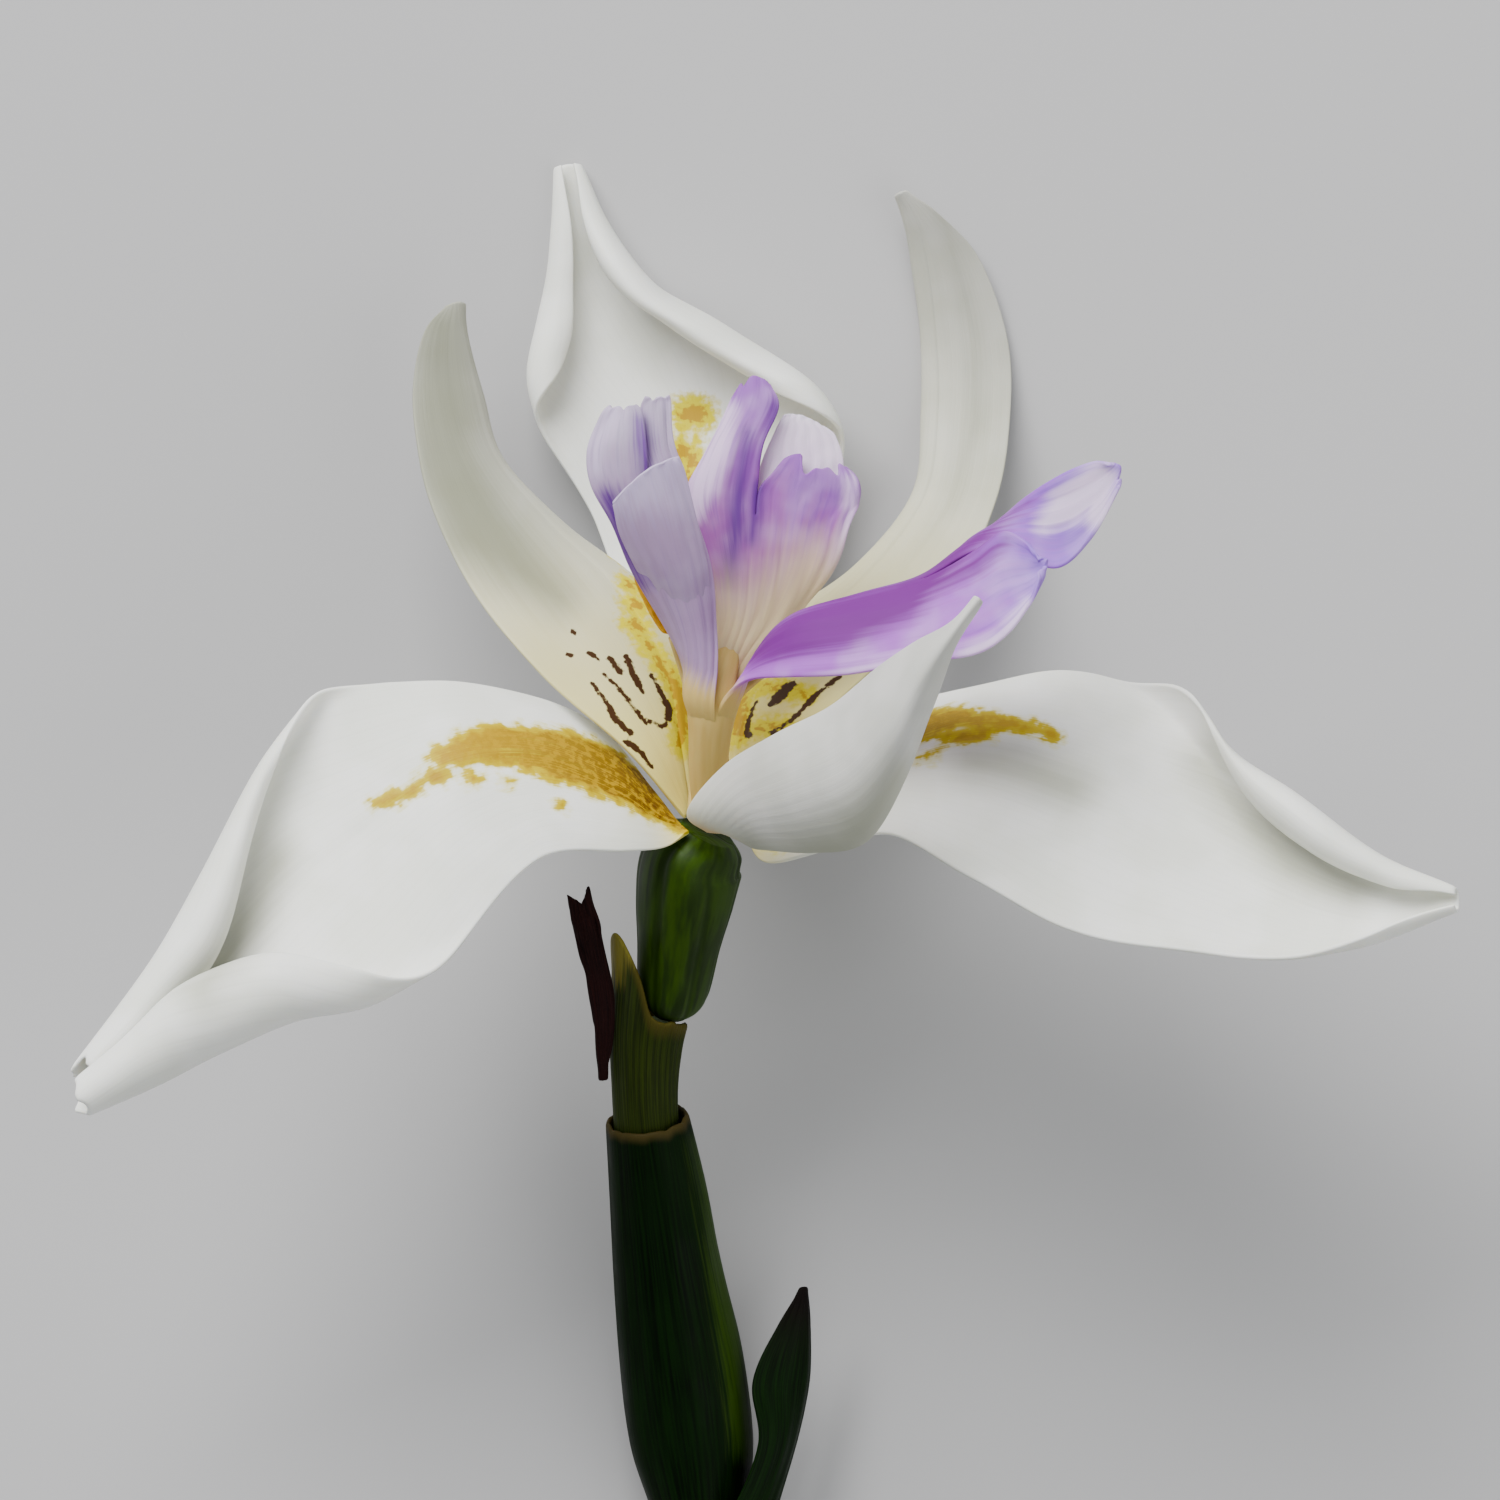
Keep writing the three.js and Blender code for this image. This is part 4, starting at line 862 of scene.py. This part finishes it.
# %% Flames and pale rims, as seen from above
# Painted shade: the first deep stroke of the left arm, along its edge under the lip's rim, and the first of the
# back arm, along its slit. The other deep strokes are violet flames.
ARM_MARKS = {
    "left": {"deep": [[(-5.0, 16.6, 0.1), (-6.2, 19.0, 0.4), (-6.8, 21.0, 0.5), (-7.4, 22.6, 0.3)],
                      [(-4.8, 24.4, 0.1), (-5.0, 26.4, 0.3), (-5.2, 27.9, 0.1)]],
             "band": [[(-3.6, 10.8, 0.4), (-2.0, 8.8, 0.9), (-0.5, 7.4, 1.5), (0.5, 4.6, 2.5)]],
             "pale": [[(-8.3, 24.6, 0.2), (-8.4, 26.4, 0.3), (-7.0, 28.4, 0.3)], [(-3.4, 29.4, 0.2)]]},
    "back": {"deep": [[(2.5, 19.6, 0.1), (2.8, 21.6, 0.35), (3.0, 23.2, 0.35)],
                      [(1.0, 16.5, 0.1), (1.5, 20.5, 0.3), (1.9, 24.0, 0.3), (2.3, 27.0, 0.1)],
                      [(3.5, 25.0, 0.2), (4.3, 27.2, 0.5), (4.3, 28.8, 0.3)]],
             "band": [[(0.4, 9.0, 2.2), (1.0, 12.0, 1.4), (1.2, 13.5, 0.3)],
                      [(2.0, 10.5, 1.6), (4.6, 13.4, 1.2), (7.0, 15.8, 0.5)]],
             "pale": [[(-1.4, 21.6, 0.4), (-0.9, 23.6, 0.8), (0.2, 26.0, 0.6), (1.0, 28.6, 0.3)],
                      [(8.0, 17.0, 0.1), (9.6, 21.6, 0.1), (9.5, 23.8, 0.2)]]},
    "right": {"deep": [[(2.6, 11.6, 0.7), (6.0, 13.1, 1.4), (9.0, 13.9, 1.7), (13.0, 15.3, 1.3),
                        (16.0, 17.6, 0.7), (19.4, 20.4, 0.2), (22.0, 22.2, -0.3)],
                       [(14.5, 15.8, 0.3), (18.2, 17.8, 0.3), (20.4, 19.6, -0.2)]],
              "band": [[(0.6, 7.0, 2.0), (1.0, 8.4, 0.9)]],
              "pale": [[(17.6, 11.6, 0.1), (20.4, 12.9, 0.1), (22.0, 15.0, 0.1)],
                       [(6.0, 9.9, -0.6), (9.0, 10.3, -0.3), (13.0, 11.2, 0.0)],
                       [(23.0, 20.6, 0.3), (24.8, 22.0, 1.2), (27.0, 23.8, 1.0), (26.8, 21.4, 0.8)]]},
}
print("marks for", ", ".join(ARM_MARKS))

# %% Frills and crest edges
def crumpled(seed, wave=0.5):
    """Relief of an arm: shallow corrugation, and margins and crests that waver."""
    def relief(across, up, co):
        s = abs(2 * across - 1)
        ripple = 0.03 * math.sin(across * 40 + 5 * noise.noise((across * 2, up * 4, seed)))
        margin = wave * (s ** 2 + 0.6 * max(0, up - 0.7)) * noise.noise((up * 6, across * 5, seed))
        return ripple * min(1, up * 5) + margin * min(1, up * 3)
    return relief


def notched(*notches):
    """A crest edge: at each (where, depth, width) the margin is bitten in."""
    def bite(s, place, depth, width):
        return depth * math.exp(-((s - place) / width) ** 2)
    return lambda s: 1 - sum(bite(s, *notch) for notch in notches)


CREST_EDGES = {
    "left": notched((-0.82, 0.03, 0.08), (-0.45, 0.05, 0.08), (0.35, 0.05, 0.1), (0.8, 0.03, 0.08)),
    "back": notched((-0.75, 0.03, 0.1), (0.36, 0.22, 0.1), (0.55, 0.19, 0.13), (0.75, 0.2, 0.1),
                    (0.94, 0.17, 0.07)),
    "right": notched((-0.45, 0.02, 0.1), (0.5, 0.03, 0.1)),
}
print("halfway to its right margin, the back crest keeps", round(CREST_EDGES["back"](0.5), 2))

# %% Build the arms and lips
ARM_GRID, LIP_GRID = (48, 72), (32, 32)
ARM_THICKNESS, LIP_THICKNESS = 0.3, 0.22
SLITS = {"left": (ARM_LEFT, 0.64), "back": (ARM_BACK, 0.57), "right": (ARM_RIGHT, 0.5)}
for seed, (name, (ribs, slit)) in enumerate(SLITS.items(), start=10):
    surface = blade_surface(ribs, CREST_EDGES[name])
    bm = lay_grid(*ARM_GRID, surface, slit=slit, relief=crumpled(seed, 0.35))
    paint(bm, above=ARM_MARKS[name])
    finish_sheet(bm, f"style_arm_{name}", [arm_finish[name]] * 2, ARM_THICKNESS,
                 f"style_branch_{name}")
lip_edge = notched((-0.3, 0.015, 0.1), (0.5, 0.02, 0.1))
for name, ribs in (("left", LIP_LEFT), ("back", LIP_BACK)):
    bm = lay_grid(*LIP_GRID, blade_surface(ribs, lip_edge), relief=crumpled(20, 0.2))
    paint(bm)
    finish_sheet(bm, f"stigma_lip_{name}", [lip_finish[name]] * 2, LIP_THICKNESS)

# %% [markdown]
# ## Column and stamens
# The column is a fleshy beige stalk with three faint grooves, where its three arms begin. Three filaments
# stand round it, and each carries a long anther that lies under an arm. An anther is two pollen sacs side by
# side, so its outline is pinched in the middle, and its skin is grainy with pollen.

# %% Fleshy materials
SPECK_GREEN = tone(96, 112, 40)


def fleshy_material(name, light, dark, count, roughness, bump_size=0.00006, grainy=0.0, end_tone=None,
                    lines=0, scatter=0.2, stroke_tone=None, shine=0.2, specks=0.0):
    material, tree, shader = new_material(name)
    uv = put(tree, "UVMap", uv_map="UVMap").outputs[0]
    fine = use_group(tree, veins_group, UV=uv, Count=float(count), Waver=0.1).outputs["Fine"]
    mottle = use_group(tree, mottle_group, Scale=220.0)
    height = number(tree, "ADD", fine, number(tree, "MULTIPLY", mottle.outputs["Grain"], grainy))
    color = mix(tree, step(tree, fine, 0.34, 0.66), dark, light)
    color = mix(tree, step(tree, mottle.outputs["Value"], 0.35, 0.7, 0.0, 0.35), color, light)
    if specks:
        spots = step(tree, mottle.outputs["Grain"], 0.5, 0.66, 0.0, specks)
        color = mix(tree, spots, color, SPECK_GREEN)
    if lines:
        line = use_group(tree, veins_group, UV=uv, Count=float(lines), Waver=0.0).outputs["Line"]
        color = mix(tree, number(tree, "MULTIPLY", line, 0.75), color, dark)
        height = number(tree, "SUBTRACT", height, line)
    if end_tone:
        up = put(tree, "SeparateXYZ", {0: uv}).outputs[1]
        color = mix(tree, step(tree, up, end_tone[1], end_tone[2]), color, end_tone[0])
    if stroke_tone:
        near = frayed(tree, mark(tree, "pale"), fine, -0.5, 0.5)
        color = mix(tree, step(tree, near, 1.0, -0.4), color, stroke_tone)
    uneven = step(tree, mottle.outputs["Value"], 0.3, 0.7, roughness - 0.06, roughness + 0.08)
    tree.links.new(uneven, shader.inputs["Roughness"])
    finish_shader(tree, shader, color, height, 0.3, bump_size, {
        "Specular IOR Level": shine, "Subsurface Weight": scatter, "Subsurface Scale": 0.0008})
    return material


column_finish = fleshy_material("beige column", tone(200, 172, 102), tone(192, 162, 90), 10, 0.6)
filament_finish = fleshy_material("cream filament", tone(202, 178, 112), tone(190, 164, 94), 6, 0.6)
anther_finish = fleshy_material("pollen", tone(216, 160, 20), tone(176, 116, 10), 8, 0.8, 0.00012, 4.0)
print("fleshy materials:", column_finish.name, filament_finish.name, anther_finish.name)

# %% Build the column and stamens
COLUMN = [
  [-0.4, 0.2, 0.1, 1.1, 1.1],
  [-0.5, 3.0, 1.3, 1.3, 1.4],
  [-0.35, 6.0, 2.8, 1.5, 1.6],
  [-0.2, 8.0, 3.6, 1.7, 1.6],
  [0.1, 9.6, 3.4, 1.4, 1.0],
  [0.7, 11.2, 2.8, 1.0, 0.5],
  [1.0, 12.4, 2.5, 0.7, 0.2],
]
STAMENS = {
    "left": [[-1.6, 0.1, 0.2], [-1.4, 4.4, -0.2], [-1.7, 8.6, 1.4], [-2.9, 12.8, 3.4], [-6.2, 19.4, 4.9]],
    "back": [[-0.2, 1.1, -1.3], [0.3, 6.0, -0.4], [1.6, 11.0, 0.4], [2.4, 14.0, 0.6], [3.6, 19.0, -0.4]],
    "right": [[1.2, 0.2, 0.2], [0.6, 4.6, -0.1], [1.0, 8.0, 1.6], [4.5, 11.3, 4.8], [8.8, 13.2, 7.6]],
}
FILAMENT_HALF_SIZE = (0.36, 0.3)
ANTHER_HALF_SIZE = (0.75, 0.5)
ANTHER_LENGTH = 5.2
ANTHER_GAP = 0.3
ANTHER_OUTLINE = [[0, 0.3], [0.08, 0.8], [0.3, 1], [0.5, 1.02], [0.8, 0.95], [0.94, 0.7], [1, 0.25]]


def three_grooves(angle, t):
    return 1 - 0.05 * max(0, math.cos(3 * (angle - math.pi / 2))) ** 4


def two_sacs(angle, t):
    return 1 - 0.24 * max(0, math.sin(angle) ** 2) ** 4


make_stalk("column", "style_column", COLUMN, 36, 40, [column_finish], three_grooves)
for side, route in STAMENS.items():
    *route, tip = [np.array(p) for p in route]
    stalk = [[*p, *FILAMENT_HALF_SIZE] for p in route]
    make_stalk(f"stamen_stalk_{side}", f"filament_{side}", stalk, 16, 36, [filament_finish])
    ahead = unit(tip - route[-1])
    sacs = []
    for reach, full in ANTHER_OUTLINE:
        middle = route[-1] + ahead * (ANTHER_GAP + reach * ANTHER_LENGTH)
        sacs.append([*middle, full * ANTHER_HALF_SIZE[0], full * ANTHER_HALF_SIZE[1]])
    make_stalk(f"pollen_sacs_{side}", f"anther_{side}", sacs, 24, 32, [anther_finish], two_sacs)

# %% [markdown]
# ## Ovary, stem and bracts
# The ovary is a waxy dark green capsule of three chambers: its outline has three broad ribs with a furrow
# between each two and a finer one down each rib. The spathes are stiff sheets rolled round the stalk, ribbed
# by parallel veins and dry at their rims. The bracts are small blades, the upper one withered nearly black.

# %% Green and dry materials
ovary_finish = fleshy_material("waxy ovary", tone(42, 66, 2), tone(22, 40, 0), 16, 0.5, 0.00008, lines=6,
                               scatter=0.05, shine=0.12)
stem_finish = fleshy_material("stem green", tone(74, 100, 20), tone(40, 62, 8), 40, 0.5, scatter=0.05)
cut_finish = fleshy_material("cut end", tone(182, 192, 106), tone(176, 186, 100), 1, 0.6, 0.0001, 2.0,
                             specks=0.6)
inner_spathe_finish = fleshy_material("olive spathe", tone(42, 54, 5), tone(20, 28, 1), 60, 0.6, 0.0001,
                                      end_tone=(tone(70, 64, 16), 0.93, 1.0), lines=30, scatter=0.03,
                                      stroke_tone=tone(112, 104, 36), shine=0.1)
outer_spathe_finish = fleshy_material("dark spathe", tone(5, 26, 1), tone(1, 8, 0), 70, 0.5, 0.00008,
                                      end_tone=(tone(58, 50, 22), 0.975, 0.995), scatter=0.02,
                                      stroke_tone=tone(38, 60, 8), shine=0.06)
bract_finish = fleshy_material("lower bract", tone(8, 32, 2), tone(2, 12, 1), 44, 0.5, 0.00008,
                               end_tone=(tone(14, 8, 6), 0.6, 0.95), scatter=0.02, shine=0.06)
withered_finish = fleshy_material("withered bract", tone(40, 16, 14), tone(14, 4, 5), 30, 0.8, 0.0002, 3.0,
                                  scatter=0.0, shine=0.1)
print("green materials:", ovary_finish.name, stem_finish.name, outer_spathe_finish.name)

# %% Build the ovary, the flower's own stalk and the stem
OVARY = [
  [-0.5, -0.9, -0.4, 2.0, 2.0],
  [-0.9, -1.7, -0.7, 3.0, 3.0],
  [-1.7, -3.2, -1.3, 3.6, 3.6],
  [-2.2, -6.0, -2.4, 3.4, 3.4],
  [-2.6, -9.0, -3.7, 2.9, 2.9],
  [-3.0, -12.4, -5.0, 2.4, 2.4],
  [-3.2, -13.7, -5.6, 1.2, 1.2],
]
PEDICEL = [
  [-3.8, -14.3, -5.9],
  [-4.7, -20.0, -8.2],
  [-3.6, -30.0, -12.5],
  [-2.4, -38.0, -15.6],
  [-1.6, -46.0, -17.6],
]
PEDICEL_HALF_SIZE = (1.1, 1.1)
STEM = [
  [-0.3, -58.0, -19.0, 2.7, 2.7],
  [-0.6, -54.0, -18.9, 2.7, 2.7],
  [-1.0, -50.0, -18.5, 2.7, 2.7],
  [-1.4, -46.4, -17.8, 2.1, 2.1],
]


def three_chambers(angle, t):
    broad = 0.055 * math.cos(3 * (angle - math.pi / 2))
    furrow = 0.06 * max(0, math.cos(6 * (angle - math.pi / 2) + math.pi)) ** 6
    return 1 + (broad - furrow) * min(1, 6 * t, 5 * (1 - t))


def sixteen_ridges(angle, t):
    return 1 + 0.015 * math.cos(16 * angle)


make_stalk("ribbed_ovary", "ovary", OVARY, 72, 64, [ovary_finish], three_chambers)
stalk = [[*p, *PEDICEL_HALF_SIZE] for p in PEDICEL]
make_stalk("flower_stalk", "pedicel", stalk, 24, 48, [stem_finish])
stem = make_stalk("cut_stem", "flowering_stem", STEM, 48, 32, [stem_finish, cut_finish],
                  sixteen_ridges)
for face in stem.data.polygons:
    if face.normal.y < -0.9:
        face.material_index = 1

# %% Rings and ribs of the sheaths and bracts
INNER_SPATHE = [
  [-1.8, -45.0, -17.3, 2.3, 2.1],
  [-2.5, -38.0, -15.5, 2.7, 2.4],
  [-3.6, -30.0, -12.5, 2.6, 2.3],
  [-4.8, -22.0, -9.1, 2.2, 2.0],
  [-4.9, -16.0, -6.8, 2.5, 2.2],
  [-4.1, -11.0, -4.7, 3.0, 3.1],
  [-3.7, -7.6, -3.4, 3.6, 3.7],
]
OUTER_SPATHE = [
  [-1.1, -49.0, -18.1, 3.3, 3.3],
  [-1.7, -44.0, -17.2, 4.2, 3.7],
  [-2.5, -38.0, -15.6, 4.2, 3.6],
  [-3.6, -30.0, -12.6, 3.5, 3.1],
  [-4.8, -21.0, -8.8, 2.8, 2.7],
]
WITHERED_BRACT = [
  rib([-7.9, -18.4, -7.1], [-8.2, -18.4, -7.0], [-7.7, -18.4, -6.9]),
  rib([-7.9, -13.0, -3.8], [-8.7, -12.5, -4.0], [-7.1, -13.0, -4.0]),
  rib([-8.8, -8.5, -2.2], [-9.7, -8.5, -2.4], [-7.9, -8.4, -2.4]),
  rib([-9.6, -4.8, -1.2], [-10.4, -5.2, -1.3], [-8.9, -4.6, -1.3]),
]
LOWER_BRACT = [
  rib([1.0, -55.0, -15.6], [-2.4, -55.0, -16.2], [3.1, -55.0, -18.6]),
  rib([3.4, -50.0, -15.0], [0.6, -50.0, -13.8], [3.8, -50.0, -18.4]),
  rib([5.2, -45.0, -15.6], [3.0, -44.5, -13.2], [5.0, -45.0, -18.2]),
  rib([6.2, -40.0, -15.6], [2.6, -40.0, -13.6], [5.6, -40.0, -17.6]),
  rib([6.4, -36.0, -15.2], [4.4, -36.0, -14.0], [6.1, -36.0, -16.4]),
  rib([6.3, -33.2, -14.8], [6.1, -33.3, -14.7], [6.4, -33.3, -15.0]),
]
print("rings in each sheath:", len(INNER_SPATHE), len(OUTER_SPATHE))

# %% Build the sheaths and bracts
def inner_rim(angle):
    torn = 0.012 * noise.noise((angle * 6, 0.3, 0.7))
    front = 0.05 * math.cos(0.6 * (angle - 2.2))
    return 0.72 + torn + front + 0.23 * max(0, math.cos(1.4 * (angle - 2.6))) ** 1.5


def outer_rim(angle):
    return 1 + 0.012 * noise.noise((angle * 5, 2.0, 0.1))


def forked_tip(s):
    return 0.9 + 0.1 * abs(s)


def ribbed(seed, depth, count=60):
    def relief(across, up, co):
        swell = 0.25 * noise.noise((co.x * 0.25, co.y * 0.12, seed))
        return depth * math.sin(across * count) + swell * min(1, up * 5)
    return relief


INNER_SHEATH_THICKNESS, OUTER_SHEATH_THICKNESS, DRY_BRACT_THICKNESS = 0.3, 0.36, 0.35
DRY_TIP = [[(-6.9, -7.4, 0.8), (-6.7, -9.4, 0.7), (-6.7, -11.0, 0.0)]]
LIT_FLANK = [[(-1.2, -22.5, 0.3), (0.6, -33.6, 0.5), (2.0, -44.0, 0.5)]]
bm = lay_grid(56, 72, tube_surface(INNER_SPATHE, (-15, 325), rim=inner_rim), relief=ribbed(1, 0.03))
paint(bm, above={"pale": DRY_TIP})
finish_sheet(bm, "inner_sheath", [inner_spathe_finish] * 2, INNER_SHEATH_THICKNESS, "inner_spathe")
bm = lay_grid(56, 60, tube_surface(OUTER_SPATHE, (-60, 290), rim=outer_rim), relief=ribbed(2, 0.04))
paint(bm, above={"pale": LIT_FLANK})
finish_sheet(bm, "outer_sheath", [outer_spathe_finish] * 2, OUTER_SHEATH_THICKNESS,
             "outer_spathe")
bm = lay_grid(24, 64, blade_surface(WITHERED_BRACT, forked_tip), relief=crumpled(3, 0.5))
paint(bm)
finish_sheet(bm, "dry_bract", [withered_finish] * 2, DRY_BRACT_THICKNESS, "withered_bract")
bm = lay_grid(40, 64, blade_surface(LOWER_BRACT), relief=ribbed(4, 0.03, 40))
paint(bm)
finish_sheet(bm, "standing_bract", [bract_finish] * 2, OUTER_SHEATH_THICKNESS, "lower_bract")

# %% [markdown]
# ## Camera, floor and light
# A picked flower lies on its side, so it is seen from straight above, as it would be held up to the eye. A
# long lens keeps the petals in proportion. The floor is a plain pale sheet, larger than the view, and takes
# no part in the flower. One large soft lamp stands past the tips of the petals, where the sky would be for
# the upright flower, so the hollows of the petals shade softly, and a weaker one opens the shadows from the
# other side.

# %% Camera above the flower
VIEW_WIDTH = 105.0  # in millimetres, at the receptacle's height
camera = bpy.data.objects.new("camera", bpy.data.cameras.new("camera"))
camera.data.lens = camera.data.sensor_width * EYE[2] / VIEW_WIDTH
camera.data.clip_start = 0.1
camera.location = Vector((EYE + RECEPTACLE) / 1000)
bpy.context.scene.collection.objects.link(camera)
bpy.context.scene.camera = camera
print("camera at", [round(c, 3) for c in camera.location], "m")

# %% Pale floor
bm = bmesh.new()
bmesh.ops.create_grid(bm, x_segments=1, y_segments=1, size=3.0)
mesh = bpy.data.meshes.new("floor")
bm.to_mesh(mesh)
bm.free()
floor = bpy.data.objects.new("floor", mesh)
bpy.context.scene.collection.objects.link(floor)
floor_finish, tree, shader = new_material("pale floor")
shader.inputs["Base Color"].default_value = tone(184, 183, 183)
shader.inputs["Roughness"].default_value = 0.9
mesh.materials.append(floor_finish)
floor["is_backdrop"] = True
print("floor:", floor.name)

# %% Soft lamps and sky
sky = bpy.data.worlds.new("soft sky")
bpy.context.scene.world = sky
sky.use_nodes = True
sky.node_tree.nodes["Background"].inputs["Color"].default_value = (0.9, 0.95, 1.0, 1)
sky.node_tree.nodes["Background"].inputs["Strength"].default_value = 0.38
FLOWER_MIDDLE = Vector((0, 0, 0.02))


def soft_lamp(name, place, size, power):
    lamp = bpy.data.lights.new(name, "AREA")
    lamp.size = size
    lamp.energy = power
    holder = bpy.data.objects.new(name, lamp)
    holder.location = place
    holder.rotation_euler = (FLOWER_MIDDLE - Vector(place)).to_track_quat("-Z", "Y").to_euler()
    bpy.context.scene.collection.objects.link(holder)
    print(name, "lamp:", power, "W")


soft_lamp("key", place=(-0.5, 1.1, 0.85), size=1.1, power=47.0)
soft_lamp("fill", place=(0.6, -0.3, 0.7), size=0.9, power=4.0)

# %% Size of the solid model and of the finished flower
sizes = {"solid": [list(corner) for corner in solid_box], "visual": [list(corner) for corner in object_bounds()]}
for name, (low, high) in sizes.items():
    print(name, [round(1000 * (b - a), 1) for a, b in zip(low, high)], "mm")
